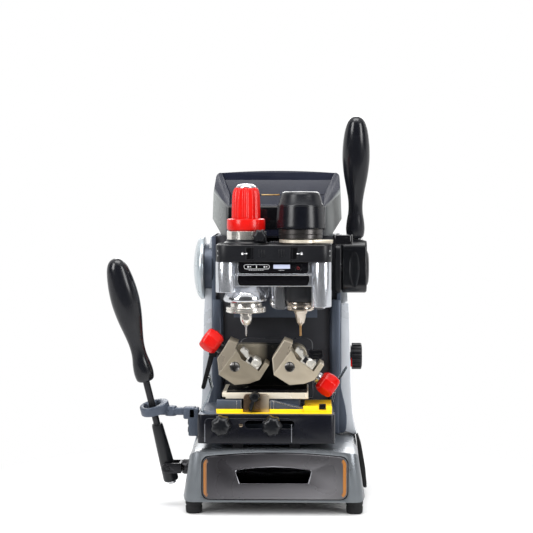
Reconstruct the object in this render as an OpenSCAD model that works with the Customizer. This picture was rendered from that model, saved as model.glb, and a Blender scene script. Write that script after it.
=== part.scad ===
// Bench-top key duplicating machine: a cast base with a drawer, a column, a head
// that a side lever lowers, and a cross table that a joystick moves.
// Millimetres. Origin: centre of the foot pattern on the bench, +X to the right
// of the operator, +Y away from the operator, +Z up.

/* [Base] */
// Width of the base at its bottom edge
base_w = 210; // [206:1:214]
// Width of the base at its top edge
base_top_w = 196; // [194:1:198]
// Depth of the base
base_d = 240; // [238:1:244]
// Height of the rubber feet
foot_h = 16; // [14:1:18]
// Height of the base's top edge at its corners
deck_z = 73; // [72:0.5:74]
// Rise of the arched top edge in the middle of the base
deck_arch = 3.5; // [2:0.5:3.5]
// Foot spacing from left to right
foot_dx = 187; // [180:1:187]
// Foot spacing from front to back
foot_dy = 200; // [196:1:202]
// Outer diameter of a foot
foot_dia = 20; // [18:1:20]
// Diameter of the bench bolt holes, tapped up through the feet
bench_bolt_dia = 6.8; // [5:0.1:7]

/* [Column] */
// Half width of the column casting
col_half = 79; // [78:0.5:79]
// Inner half width of the open front recess
recess_half = 65; // [64:0.5:66]
// Front face of the column's two ribs
rib_y = 12; // [11.5:0.5:13]
// Front face of the recess wall
wall_y = 20; // [20:0.5:20]
// Height of the column's top edge
col_top = 318; // [317:1:320]
// Highest point of the hood's arched rim
hood_top = 397.6; // [390:0.1:404]

/* [Head] */
// Distance between the tracer and the cutter
pair_pitch = 64.5; // [64.5:0.5:64.5]
// Place of the spindle axis from left to right
spindle_x = 30; // [29:0.5:31]
// Place of the spindle axis from front to back
spindle_y = -45; // [-46:0.5:-44]
// Lowest point of the cutter with the head raised
cutter_tip_z = 201.5; // [201:0.5:204]
// Lowest point of the tracer with the head raised
tracer_tip_z = 201; // [201:0.5:204]
// Height of the cross shaft that the lever turns
shaft_z = 278; // [277:0.5:279]
// Place of the cross shaft from front to back
shaft_y = 40; // [40:0.5:40]
// Gear module of the rack and its pinion
rack_module = 2; // [2:1:2]
// Teeth on the pinion
pinion_teeth = 24; // [24:1:24]

/* [Table] */
// Left end of the table
table_x0 = -88.5; // [-90:0.5:-86]
// Right end of the table
table_x1 = 70.5; // [68:0.5:71]
// Top face of the table
table_z = 117; // [116:0.5:117]
// Front face of the table's cover
cover_y = -112; // [-114:0.5:-111]
// Height of the two lock knobs
lock_z = 105.5; // [105:0.5:108]
// Radius of the two guide rods
rod_r = 5; // [4.5:0.5:5]

/* [Clamps] */
// Tilt of both key clamps, top to the right
clamp_tilt = 35; // [30:1:40]
// Height of the clamps' tilt axis
clamp_z = 173; // [173:0.5:174]
// Place of the right clamp's tilt axis
clamp_x = 27.5; // [27:0.5:28]
// Front face of the clamps
clamp_y0 = -75; // [-76:0.5:-74]
// Back face of the clamps
clamp_y1 = -33; // [-34:0.5:-33]

/* [Hidden] */

$fn = 48;
eps = 0.01;
run = 0.06;                    // radial clearance of a shaft in its bore
tracer_x = spindle_x - pair_pitch;
left_clamp_x = clamp_x - pair_pitch;
base_y0 = -base_d / 2;
base_y1 = base_d / 2;
plate_t = 2.5;
pinion_r = rack_module * pinion_teeth / 2;
rack_y = shaft_y - pinion_r;   // pitch line of the rack
side_wall = 5;
corner_r = 14;                 // upright corners of the base
stick_pivot = [-127.3, -60.4, 47];
stick_eye = [-143, -77, 119];
stick_dir = stick_eye - stick_pivot;
stick_lean_x = atan2(stick_dir[0], stick_dir[2]);
stick_lean_y = atan2(-stick_dir[1], norm([stick_dir[0], stick_dir[2]]));
lever_lean = 14;
lever_x = 96.5;

// ---------- helpers ----------

// Points of an arc about [cx, cy]
function arc(cx, cy, r, a0, a1, n = 6) =
  [for (i = [0:n]) let (a = a0 + (a1 - a0) * i / n) [cx + r * cos(a), cy + r * sin(a)]];

// Outline of a rectangle with round corners
function rounded(x0, y0, x1, y1, r, n = 6) = concat(
  arc(x1 - r, y1 - r, r, 0, 90, n), arc(x0 + r, y1 - r, r, 90, 180, n),
  arc(x0 + r, y0 + r, r, 180, 270, n), arc(x1 - r, y0 + r, r, 270, 360, n));

// Prism from an outline in X and Z, between two Y planes
module front_prism(points, y0, y1) {
  translate([0, y1, 0]) rotate([90, 0, 0]) linear_extrude(y1 - y0) polygon(points);
}

// Prism from an outline in Y and Z, between two X planes
module side_prism(points, x0, x1) {
  translate([x0, 0, 0]) rotate([90, 0, 90]) linear_extrude(x1 - x0) polygon(points);
}

// Prism from an outline in X and Y, between two heights
module plan_prism(points, z0, z1) {
  translate([0, 0, z0]) linear_extrude(z1 - z0) polygon(points);
}

// Block between two corners
module block(a, b) {
  translate(a) cube(b - a);
}

module rod_x(x0, x1, y, z, r) {
  translate([x0, y, z]) rotate([0, 90, 0]) cylinder(h = x1 - x0, r = r);
}

module rod_y(y0, y1, x, z, r) {
  translate([x, y1, z]) rotate([90, 0, 0]) cylinder(h = y1 - y0, r = r);
}

module rod_z(z0, z1, x, y, r) {
  translate([x, y, z0]) cylinder(h = z1 - z0, r = r);
}

// Outline of a knob with round lobes
function lobed(r, depth, lobes, n = 96) =
  [for (i = [0:n - 1]) let (a = 360 * i / n, k = r - depth / 2 + depth / 2 * cos(lobes * a))
    [k * cos(a), k * sin(a)]];

// Outline of a fluted knob with straight ribs
function fluted(r, depth, ribs) =
  [for (i = [0:ribs - 1], s = [0:3])
    let (a = 360 * (i + s / 4) / ribs, k = s < 2 ? r : r - depth) [k * cos(a), k * sin(a)]];

// Involute tooth half angle at radius r
function inv_deg(a) = tan(a) * 180 / PI - a;
function tooth_half(r, rb, zt, slack) =
  90 / zt - slack + inv_deg(20) - (r > rb ? inv_deg(acos(rb / r)) : 0);
function gear_points(m, zt, slack = 0.6) =
  let (rp = m * zt / 2, rb = rp * cos(20), ra = rp + m, rf = rp - 1.25 * m,
       radii = [rf, rb, rb + (ra - rb) * 0.35, rb + (ra - rb) * 0.7, ra])
  [for (t = [0:zt - 1], s = [0:9])
    let (r = s < 5 ? radii[s] : radii[9 - s],
         a = 360 * t / zt + (s < 5 ? -1 : 1) * tooth_half(r, rb, zt, slack))
    [r * cos(a), r * sin(a)]];

// Bowling-pin profile of the two hand grips, radius over height
grip_len = 150;
function grip_points() = [
  [0, 0], [9.5, 0], [10.9, 4], [11.4, 11], [10.6, 20], [9.1, 29], [8.6, 37], [9.1, 47],
  [11.4, 61], [14.2, 76], [16.1, 92], [16.5, 103], [15.9, 116], [14.1, 130], [11.4, 141],
  [7.6, 147.5], [3.5, 149.7], [0, grip_len]];

module grip() {
  rotate_extrude($fn = 64) polygon(grip_points());
}

// ---------- base ----------

function base_half(z) =
  base_w / 2 - (base_w - base_top_w) / 2 * (z - foot_h) / (deck_z - foot_h);

// Front outline of the base with its arched top
function base_outline() = concat(
  arc(base_w / 2 - 5, foot_h + 5, 5, -90, 0, 4),
  arc(base_top_w / 2 - 7, deck_z - 7, 7, 0, 75, 6),
  [for (i = [0:12]) let (t = 1 - i / 6)
    [t * (base_top_w / 2 - 8), deck_z + deck_arch * (1 - t * t * t * t)]],
  arc(-base_top_w / 2 + 7, deck_z - 7, 7, 105, 180, 6),
  arc(-base_w / 2 + 5, foot_h + 5, 5, 180, 270, 4));

// Turns about which the front and back corners of the base are rounded
module base_corners() {
  slope = atan((base_w - base_top_w) / 2 / (deck_z - foot_h));
  r = corner_r;
  for (sx = [-1, 1], sy = [-1, 1])
    translate([sx * base_w / 2, sy * base_d / 2, foot_h]) mirror([sx < 0 ? 1 : 0, 0, 0])
      mirror([0, sy < 0 ? 1 : 0, 0]) rotate([0, -slope, 0])
        plan_prism(concat([[3, 3]], [[3, -r]], arc(-r, -r, r, 0, 90, 12), [[-r, 3]]), -6, 70);
}

drawer_x0 = -82.5;
drawer_x1 = 85;
drawer_z0 = 19.8;
drawer_z1 = 73.3;
drawer_arch = 4.2;
drawer_gap = 1;
tray_back_y = 8;

// Front outline of the drawer, grown by g on every side
function drawer_outline(g = 0) = let (r = 9)
  concat(
    arc(drawer_x1 - r + g, drawer_z0 + r - g, r, -90, 0),
    arc(drawer_x1 - r + g, drawer_z1 - drawer_arch - r + g, r, 0, 80),
    [for (i = [1:9]) let (t = 1 - i / 5, mid = (drawer_x0 + drawer_x1) / 2,
      half = (drawer_x1 - drawer_x0) / 2 - r)
      [mid + t * half, drawer_z1 + g - drawer_arch * t * t]],
    arc(drawer_x0 + r - g, drawer_z1 - drawer_arch - r + g, r, 100, 180),
    arc(drawer_x0 + r - g, drawer_z0 + r - g, r, 180, 270));

module base_casting() color([0.55, 0.58, 0.6]) {
  difference() {
    union() {
      difference() {
        front_prism(base_outline(), base_y0, base_y1);
        // drawer front pocket, then the drawer's bay
        front_prism(drawer_outline(drawer_gap), base_y0 - 1, base_y0 + 10);
        block([drawer_x0 + 5, base_y0 - 1, 20], [drawer_x1 - 5, tray_back_y + 3, 66]);
        // bay for the battery, open to the bottom plate
        block([-88, tray_back_y + 9, foot_h - 1], [88, base_y1 - 6, 67]);
        // seat of the bottom plate
        block([-99, base_y0 + 5, foot_h - 1], [99, base_y1 - 5, foot_h + plate_t]);
      }
      for (x = [-1, 1], y = [-1, 1])
        rod_z(foot_h + plate_t, 37, x * foot_dx / 2, y * foot_dy / 2, 8.6);
      // flat pad under the saddle rails
      block([-56, -110, 70], [40, 12, deck_z + deck_arch]);
    }
    for (x = [-1, 1], y = [-1, 1])
      rod_z(foot_h - 1, 33, x * foot_dx / 2, y * foot_dy / 2, bench_bolt_dia / 2);
    base_corners();
    // bore and seat of the joystick's pin bracket
    rod_x(-base_w / 2 - 2, -86, stick_pivot[1], stick_pivot[2], 5.02);
    rod_x(-base_w / 2 - 2, -base_half(stick_pivot[2]) + 1.2, stick_pivot[1], stick_pivot[2], 9.02);
  }
}

module base_plate() color([0.3, 0.31, 0.33]) {
  difference() {
    block([-98.6, base_y0 + 5.4, foot_h], [98.6, base_y1 - 5.4, foot_h + plate_t]);
    for (x = [-1, 1], y = [-1, 1])
      rod_z(foot_h - 1, foot_h + plate_t + 1, x * foot_dx / 2, y * foot_dy / 2, bench_bolt_dia / 2);
    for (i = [-3:3])
      block([i * 16 - 3, 40, foot_h - 1], [i * 16 + 3, 80, foot_h + plate_t + 1]);
  }
}

module rubber_feet() color([0.06, 0.06, 0.06]) {
  for (x = [-1, 1], y = [-1, 1])
    translate([x * foot_dx / 2, y * foot_dy / 2, 0])
      rotate_extrude() polygon([[bench_bolt_dia / 2, 0], [foot_dia / 2 - 1.5, 0],
        [foot_dia / 2 - 0.5, 1.5], [foot_dia / 2, foot_h], [bench_bolt_dia / 2, foot_h]]);
}

module battery_pack() color([0.15, 0.3, 0.6]) {
  block([-60, 34, foot_h + plate_t], [30, 100, 50]);
  block([-58, 36, 49.9], [-48, 46, 54]);
}

module control_board() color([0.1, 0.4, 0.2]) {
  block([-56, 96, 110], [56, 98, 200]);
  for (x = [-40, -10, 20])
    block([x, 90, 130], [x + 20, 96, 150]);
  for (x = [-44, 40], z = [190, 120])
    rod_y(98, 108.6, x, z, 3);
}

module guide_rails() color([0.75, 0.76, 0.78]) {
  for (x = [-42, 24])
    block([x - 6, -106, deck_z + deck_arch], [x + 6, 8, deck_z + deck_arch + 6.5]);
  for (x = [-38, 38])
    difference() {
      block([x - 7.5, wall_y - 8, 222], [x + 7.5, wall_y, 316]);
      for (z = [232:20:312])
        rod_y(wall_y - 9, wall_y - 4, x, z, 2.5);
    }
}

// ---------- column ----------

module column_casting() color([0.33, 0.36, 0.42]) {
  difference() {
    union() {
      // recess wall and its raised panel
      block([-col_half + 1, wall_y, 70], [col_half - 1, wall_y + 4, col_top]);
      front_prism(concat([[45.5, 120]], arc(37.5, 185, 8, 0, 90), arc(-37.5, 185, 8, 90, 180),
        [[-45.5, 120]]), wall_y - 1.5, wall_y + 1);
      // side walls
      for (s = [-1, 1])
        block([s > 0 ? col_half - side_wall : -col_half, rib_y + 2, 70],
              [s > 0 ? col_half : -col_half + side_wall, 112, col_top]);
      // front ribs with sloping inner faces
      for (s = [-1, 1])
        plan_prism([[s * recess_half, wall_y + 1], [s * (recess_half + 3), rib_y],
          [s * (col_half - 3), rib_y], [s * col_half, rib_y + 3], [s * col_half, wall_y + 1]],
          72, 240);
      // flared feet of the ribs
      for (s = [-1, 1])
        mirror([s < 0 ? 1 : 0, 0, 0])
          front_prism([[72, 72], [84, 72], [85.6, 78], [86.6, 87], [86.4, 98], [84.6, 110],
            [81.6, 122], [79, 134], [77, 144], [72, 144]], rib_y + 0.6, wall_y + 1.5);
      // bearing boss beside the lever's hub
      side_prism(rounded(3, 249, 30, 308, 7), 71.5, col_half);
      // floor flange on the base, and the top frame
      for (s = [-1, 1])
        block([s > 0 ? 60 : -78, 24, 76.5], [s > 0 ? 78 : -60, 108, 82]);
      block([-78, 24, col_top - 8], [-64, 108, col_top]);
      block([64, 24, col_top - 8], [78, 108, col_top]);
      // inner bearing web for the cross shaft
      block([-26, wall_y + 3, shaft_z - 16], [-18, 60, shaft_z + 16]);
      // boss and stud of the lock wheel
      rod_x(-88, -col_half + 1, shaft_y, shaft_z, 30);
      rod_x(-100.4, -87, shaft_y, shaft_z, 8);
      // stud of the depth knob
      rod_x(col_half - 1, 92, 45, 168, 5);
    }
    // window for the rack
    block([-12, wall_y - 3, 240], [12, wall_y + 5, col_top - 2]);
    // bores of the cross shaft
    rod_x(-27, -17, shaft_y, shaft_z, 7 + run);
    rod_x(col_half - 6, col_half + 2, shaft_y, shaft_z, 8 + run);
    // the casting stands on the arched deck
    front_prism(base_outline(), -10, base_y1);
  }
}

module lever_spring() color([0.6, 0.6, 0.62]) {
  turns = 7;
  per = 12;
  sides = 8;
  wire = 1.3;
  mean_r = 11.5;
  pitch = 4.2;
  count = turns * per;
  rings = [for (i = [0:count]) let (a = 360 * i / per, x = 30 + pitch * i / per)
    [for (j = [0:sides - 1]) let (b = 360 * j / sides, r = mean_r + wire * cos(b))
      [x + wire * sin(b), shaft_y + r * cos(a), shaft_z + r * sin(a)]]];
  points = [for (ring = rings) for (p = ring) p];
  faces = concat(
    [[for (j = [0:sides - 1]) j]],
    [for (i = [0:count - 1], j = [0:sides - 1])
      [i * sides + j, (i + 1) * sides + j, (i + 1) * sides + (j + 1) % sides,
       i * sides + (j + 1) % sides]],
    [[for (j = [sides - 1:-1:0]) count * sides + j]]);
  polyhedron(points, faces);
}

// Outer edge of a side panel: half width at each height
panel_edge = [[110, 17], [107.5, 38], [102.5, 60], [97, 80], [93.5, 100], [92, 117],
  [90, 193], [88, 241], [84.6, 278], [81, 317]];

module side_panel(s) {
  inner = [for (p = panel_edge) [p[0] - 2.6, p[1]]];
  skin = concat(panel_edge, [[col_half + 0.3, 317], [col_half + 0.3, deck_z + 5.5], [98.3, deck_z],
    [base_w / 2 + 0.3, 17]]);
  hollow = concat([for (p = inner) if (p[1] > 75 && p[1] < 300) p],
    [[81.5, 300], [col_half, 300], [col_half, deck_z + 8]]);
  mirror([s < 0 ? 1 : 0, 0, 0])
    difference() {
      front_prism(skin, 22, 118);
      front_prism(hollow, 25, 115);
      block([90, 0, 0], [base_w / 2 + 0.2, 200, 30]);
      front_prism([for (p = base_outline()) [p[0] * 1.003, p[1]]], 21, 119);
      // the back corner follows the base
      plan_prism([[base_w / 2 - 14, 119], [base_w / 2 + 8, 119], [base_w / 2 + 8, 103]], 0, 320);
    }
}

module left_side_panel() color([0.82, 0.83, 0.85]) {
  difference() {
    side_panel(-1);
    rod_x(-120, -60, shaft_y, shaft_z, 30.4);
  }
}

module right_side_panel() color([0.82, 0.83, 0.85]) {
  difference() {
    side_panel(1);
    rod_x(60, 120, shaft_y, shaft_z, 46);
    rod_x(60, 120, 45, 168, 5.3);
  }
}

module rear_cover() color([0.2, 0.21, 0.23]) {
  difference() {
    block([-col_half, 112.1, deck_z + deck_arch + 0.5], [col_half, 115.5, col_top - 0.5]);
    for (i = [0:7])
      block([-40, 111, 215 + i * 10], [40, 117, 219 + i * 10]);
    rod_y(111, 117, -50, 98, 6.05);
    for (x = [-72, 72], z = [90, 300])
      rod_y(111, 117, x, z, 2.1);
  }
}

module dc_inlet() color([0.08, 0.08, 0.08]) {
  difference() {
    union() {
      rod_y(100, 116.5, -50, 98, 6);
      rod_y(115.6, 118, -50, 98, 8);
    }
    rod_y(103, 119, -50, 98, 2.9);
  }
  rod_y(102, 114, -50, 98, 1.05);
}

module case_screws() color([0.12, 0.12, 0.13]) {
  for (x = [-72, 72], z = [90, 300]) {
    rod_y(115.6, 117.6, x, z, 3.6);
    rod_y(112.2, 115.7, x, z, 1.9);
  }
}

// ---------- hood ----------

hood_half = 78;
hood_arch = 2.6;

// Plan of the hood, its front corners cut back, drawn in by g
function hood_plan(g) = concat(
  [[g - 80.5, 121], [g - 80.5, 55 + g / 3]], arc(-57 + g * 0.6, 20, 6 - g * 0.4, 204, 270),
  arc(57 - g * 0.6, 20, 6 - g * 0.4, 270, 336), [[80.5 - g, 55 + g / 3], [80.5 - g, 121]]);

// Front outline of the hood with its arched rim, drawn in by g
function hood_front(g) = concat(
  [[68.5 - g, col_top], [69.5 - g, 322], [80.2 - g, 338]],
  arc(hood_half - 5.4, hood_top - g * 2 - hood_arch - 5.2, 5.4 - g, 0, 80, 5),
  [for (i = [0:12]) let (t = 1 - i / 6)
    [t * (hood_half - 7), hood_top - g * 3 - hood_arch * t * t]],
  arc(5.4 - hood_half, hood_top - g * 2 - hood_arch - 5.2, 5.4 - g, 100, 180, 5),
  [[g - 80.2, 338], [g - 69.5, 322], [g - 68.5, col_top]]);

module hood() color([0.2, 0.21, 0.24]) {
  side = [[14, col_top + 0.4], [14, 350], [15, 353], [17.5, 355], [104, 394.5], [110, 400],
    [116, 400], [118, 392], [117, col_top + 0.4]];
  pocket = [[20, 341], [62, 344], [103, 386], [109, 410], [20, 410]];
  under = [[18, col_top - 1], [18, 334], [64, 338], [108, 372], [112, 372], [112, col_top - 1]];
  difference() {
    intersection() {
      side_prism(side, -82, 82);
      front_prism(hood_front(0), 10, 121);
      plan_prism(hood_plan(0), col_top, 402);
    }
    // tray with side walls that lean outwards
    intersection() {
      side_prism(pocket, -75, 75);
      front_prism([[-57, 340], [57, 340], [58.5, 368], [71, 394], [77, 410], [-77, 410], [-71, 394],
        [-58.5, 368]], 10, 120);
    }
    intersection() {
      side_prism(under, -75, 75);
      front_prism(hood_front(4), 10, 121);
      plan_prism(hood_plan(4), col_top - 1, 380);
    }
  }
}

// ---------- drawer ----------

module drawer_tray() color([0.12, 0.12, 0.13]) {
  difference() {
    block([drawer_x0 + 7, base_y0 + 8.3, 23], [drawer_x1 - 7, tray_back_y, 62]);
    block([drawer_x0 + 9.5, base_y0 + 10.8, 25.5], [drawer_x1 - 9.5, tray_back_y - 2.5, 63]);
  }
}

module drawer_front() color([0.2, 0.2, 0.22]) {
  difference() {
    front_prism(drawer_outline(), base_y0 - 2, base_y0 + 8);
    // hand recess
    front_prism([[-39.1, 38.6], [39.4, 38.8], [42.8, 53.6], [20, 56.8], [0, 57.5], [-20, 56.8],
      [-43.3, 53.4]], base_y0 - 3, base_y0 + 5);
  }
}

// ---------- joystick ----------

module joystick_bracket() color([0.7, 0.71, 0.72]) {
  difference() {
    union() {
      rod_x(-109.8, -base_half(stick_pivot[2]) + 1.2, stick_pivot[1], stick_pivot[2], 9);
      rod_x(-base_half(stick_pivot[2]) - 2, -88, stick_pivot[1], stick_pivot[2], 5);
    }
    rod_x(-111, -90, stick_pivot[1], stick_pivot[2], 3.5 + run);
  }
}

// Distance of the fork's ears from the stick's axis
fork_y = 12.5;

module joystick_yoke() color([0.65, 0.66, 0.68]) {
  difference() {
    union() {
      rod_x(-112, -91, stick_pivot[1], stick_pivot[2], 3.5);
      // fork that holds the rod's pin
      for (s = [-1, 1])
        translate([0, stick_pivot[1] + s * fork_y, 0])
          front_prism(concat([[-112, stick_pivot[2] - 6]], [[-112, stick_pivot[2] + 6]],
            arc(stick_pivot[0], stick_pivot[2], 6, 90, 270)), -1.5, 1.5);
      block([-113.2, stick_pivot[1] - fork_y - 1.5, stick_pivot[2] - 6],
            [-110.4, stick_pivot[1] + fork_y + 1.5, stick_pivot[2] + 6]);
    }
    for (s = [-1, 1])
      rod_y(stick_pivot[1] + s * fork_y - 2, stick_pivot[1] + s * fork_y + 2,
        stick_pivot[0], stick_pivot[2], 2.5 + run);
  }
}

// Everything that stands along the joystick's leaning axis
module on_stick() {
  translate(stick_pivot) rotate([0, stick_lean_x, 0]) rotate([stick_lean_y, 0, 0]) children();
}

stick_grip_z = 112;

module joystick_rod() color([0.14, 0.14, 0.15]) {
  on_stick() {
    rotate_extrude() polygon([[0, -17], [8.8, -17], [9, -14], [8.2, 12], [6.6, 54], [4, 56],
      [4, stick_grip_z], [0, stick_grip_z]]);
    translate([0, 0, stick_grip_z]) grip();
    translate([0, 0, -21]) cylinder(h = 4.2, r = 5.5, $fn = 6);
  }
  rod_y(stick_pivot[1] - fork_y - 2.5, stick_pivot[1] + fork_y + 2.5,
    stick_pivot[0], stick_pivot[2], 2.5);
}

// ---------- head ----------

head_x0 = -69.5;
head_x1 = 66.5;
head_y0 = -78;
head_y1 = -4;
head_z1 = 291;
band_z1 = 311;

// Plan of the head: two round pillars with a recess between them
function head_plan() = concat(
  arc(head_x0 + 12, head_y0 + 12, 12, 180, 270),
  [[-46, head_y0 + 1]], [[-43, head_y0 + 8]], [[40, head_y0 + 8]], [[43, head_y0 + 1]],
  arc(head_x1 - 12, head_y0 + 12, 12, 270, 360),
  [[head_x1, head_y1]], [[head_x0, head_y1]]);

module head_casting() color([0.7, 0.71, 0.73]) {
  difference() {
    union() {
      plan_prism(head_plan(), 262, head_z1);
      // skirts of the two pillars
      side_prism([[head_y0 + 4, 262.1], [head_y1, 262.1], [head_y1, 240], [-30, 240]],
        head_x0 + 4, -58);
      side_prism([[head_y0 + 4, 262.1], [head_y1, 262.1], [head_y1, 236], [-30, 236]],
        50, head_x1 - 4);
      block([-60, -40, 246], [52, head_y1, 262.1]);
      // deep lobe behind the collet
      front_prism(concat([[-9, 262.1]], arc(5, 247, 14, 180, 270), arc(53, 246, 13, 270, 360), [[66, 262.1]]),
        -46, head_y1);
      // flared barrel of the tracer
      translate([tracer_x - 1, spindle_y, 0]) rotate_extrude()
        polygon([[0, 242], [24, 242], [26.2, 245], [24.5, 251], [20, 258], [18, 262.1], [0, 262.1]]);
      // barrel of the spindle
      translate([spindle_x - 4, spindle_y, 0]) rotate_extrude()
        polygon([[0, 246], [23, 246], [25.5, 249], [25.5, 254], [22, 262.1], [0, 262.1]]);
    }
    // recess above the tracer's dial and above the collet ring
    rod_z(241, 252, tracer_x, spindle_y, 20.5);
    rod_z(232, 250, spindle_x, spindle_y, 18.6);
    rod_z(249, head_z1 + 1, tracer_x, spindle_y, 12 + run);
    rod_z(249, head_z1 + 1, spindle_x, spindle_y, 8);
    rod_z(258, 268, spindle_x, spindle_y, 14);
    rod_z(281, head_z1 + 1, spindle_x, spindle_y, 14);
  }
}

module head_band() color([0.16, 0.17, 0.18]) {
  difference() {
    plan_prism(rounded(head_x0 + 0.5, head_y0 - 2, head_x1 + 0.5, head_y1, 14, 8), head_z1 + eps, band_z1);
    // groove for the centre slider
    block([-33, head_y0 - 3, 294], [27, head_y0 + 2.2, 308]);
    rod_z(head_z1 - 1, band_z1 + 1, tracer_x, spindle_y, 12 + run);
    rod_z(head_z1 - 1, band_z1 + 1, spindle_x, spindle_y, 14);
  }
}

module band_slider() color([0.22, 0.22, 0.24]) {
  block([-24.5, head_y0 - 4.5, 292.2], [18.5, head_y0 - 2.3, 310.6]);
  block([-22, head_y0 - 2.4, 294.4], [16, head_y0 + 1.8, 307.6]);
  for (x = [-17:3.4:11])
    block([x, head_y0 - 5.4, 298], [x + 1, head_y0 - 4.4, 306]);
}

module control_panel() color([0.1, 0.1, 0.12]) {
  difference() {
    front_prism(concat(arc(33.5, 282.5, 6, 270, 360), [[39.5, head_z1 - 0.2]],
      [[-42.5, head_z1 - 0.2]], arc(-36.5, 282.5, 6, 180, 270)), head_y0 + 3.5, head_y0 + 7.9);
    rod_y(head_y0 + 2, head_y0 + 6, 27.5, 284, 3.3);
  }
}

module power_button() color([0.25, 0.05, 0.05]) {
  rod_y(head_y0 + 3.2, head_y0 + 5.4, 27.5, 284, 3);
}

module head_plate() color([0.2, 0.21, 0.23]) {
  block([-51, head_y1 + eps, 220], [50, 3.8, 310]);
  // linear carriages that wrap the upright rails
  for (x = [-38, 38], z = [250, 284])
    difference() {
      block([x - 14, 3.7, z], [x + 14, 17.6, z + 26]);
      block([x - 7.8, wall_y - 8.3, z - 1], [x + 7.8, 18, z + 27]);
    }
}

// Rack tooth outlines in Y and Z, pointing to the pinion
rack_z0 = 266;
rack_z1 = 312;
module head_rack() color([0.6, 0.61, 0.63]) {
  pitch = PI * rack_module;
  slack = 0.12;
  half_top = pitch / 4 - slack - rack_module * tan(20);
  half_root = pitch / 4 - slack + 1.2 * rack_module * tan(20);
  side_prism([[3.9, rack_z0], [rack_y - 1.19 * rack_module, rack_z0],
    [rack_y - 1.19 * rack_module, rack_z1], [3.9, rack_z1]], -8, 8);
  for (k = [-1:5])
    side_prism([[rack_y - 1.2 * rack_module, shaft_z + k * pitch - half_root],
      [rack_y + rack_module, shaft_z + k * pitch - half_top],
      [rack_y + rack_module, shaft_z + k * pitch + half_top],
      [rack_y - 1.2 * rack_module, shaft_z + k * pitch + half_root]], -8, 8);
}

module motor_housing() color([0.13, 0.13, 0.15]) {
  difference() {
    translate([spindle_x, spindle_y, 0]) rotate_extrude($fn = 96)
      polygon([[0, band_z1 + 0.1], [19.6, band_z1 + 0.1], [19.6, 317.4], [25.6, 317.4], [26, 318],
        [26, 328.6], [28.8, 329], [29.3, 330.4], [29.2, 333], [27.4, 356], [26.9, 357.8], [25.8, 359.2],
        [22.4, 370], [21.4, 371.8], [19.8, 372.8], [0, 373]]);
    rod_z(band_z1 - 1, 331, spindle_x, spindle_y, 8);
    rod_z(330, 356, spindle_x, spindle_y, 24);
  }
}

module spindle_bearings() color([0.75, 0.75, 0.77]) {
  for (z = [258.2, 298])
    translate([spindle_x, spindle_y, z]) difference() {
      cylinder(h = 9.6, r = 13.9);
      translate([0, 0, -1]) cylinder(h = 12, r = 6 + run);
      translate([0, 0, 8]) difference() {
        cylinder(h = 3, r = 11.5);
        translate([0, 0, -1]) cylinder(h = 5, r = 8.5);
      }
    }
}

module spindle_shaft() color([0.7, 0.7, 0.72]) {
  rod_z(243, 350, spindle_x, spindle_y, 6);
  rod_z(334, 352, spindle_x, spindle_y, 18);
}

module collet_nut() color([0.7, 0.62, 0.5]) {
  translate([spindle_x, spindle_y, 0]) difference() {
    rotate_extrude() polygon([[0, 216.5], [4.2, 216.5], [5, 218], [8.6, 231], [9.4, 232],
      [15.6, 232], [16.7, 233.5], [16.7, 237], [15.9, 237.6], [16.7, 238.2], [16.7, 242],
      [15.5, 243], [0, 243]]);
    translate([0, 0, 215]) cylinder(h = 15, r = 3);
  }
}

module cutter() color([0.85, 0.65, 0.25]) {
  translate([spindle_x, spindle_y, cutter_tip_z]) rotate_extrude()
    polygon([[0, 0], [1.25, 0.2], [1.25, 12], [3, 14.5], [3, 28], [0, 28]]);
}

module collet_lever() color([0.7, 0.66, 0.6]) {
  difference() {
    union() {
      rod_z(312.6, 316.6, spindle_x, spindle_y, 25.5);
      plan_prism([[spindle_x + 15, spindle_y - 18], [70, -70], [70, -58], [spindle_x + 23, spindle_y - 4]],
        312.6, 316.6);
    }
    rod_z(311, 318, spindle_x, spindle_y, 19.6 + 0.35);
  }
  // moulded paddle
  plan_prism(rounded(67.8, -76, 91, -57, 4), 311.2, 322.8);
}

clamp_knob_x = -17.5;
clamp_knob_z = 321.5;

module tracer_barrel() color([0.75, 0.75, 0.77]) {
  difference() {
    union() {
      translate([tracer_x, spindle_y, 0]) rotate_extrude()
        polygon([[0, band_z1 + 0.1], [27, band_z1 + 0.1], [26, 314], [23.4, 314.6], [22.8, 316.6],
          [22.8, 326.7], [0, 326.7]]);
      // lug of the clamp screw
      block([-25, -66, 313], [-10, -52, 326]);
    }
    rod_z(band_z1 - 1, 328, tracer_x, spindle_y, 5 + run);
    rod_y(-70, -56, clamp_knob_x, clamp_knob_z, 2.5 + run);
  }
}

module tracer_clamp_knob() color([0.15, 0.15, 0.16]) {
  translate([clamp_knob_x, -67.5, clamp_knob_z]) rotate([90, 0, 0])
    linear_extrude(11) polygon(lobed(8, 1.6, 6));
  rod_y(-68, -57, clamp_knob_x, clamp_knob_z, 2.5);
}

module tracer_knob() color([0.94, 0.2, 0.18]) {
  translate([tracer_x, spindle_y, 0]) {
    rotate_extrude() polygon([[0, 290], [5, 290], [5, 327.2], [21.5, 327.2], [22.8, 328.5],
      [22.8, 339.4], [21.4, 341.2], [0, 341.2]]);
    translate([0, 0, 341]) linear_extrude(29) polygon(lobed(17, 1.2, 12));
    rotate_extrude() polygon([[0, 369.9], [15.6, 369.9], [15.3, 372.4], [14.2, 375], [12.6, 376.8],
      [11.8, 378.4], [9.6, 380.2], [6.2, 381.4], [0, 382]]);
  }
}

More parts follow.
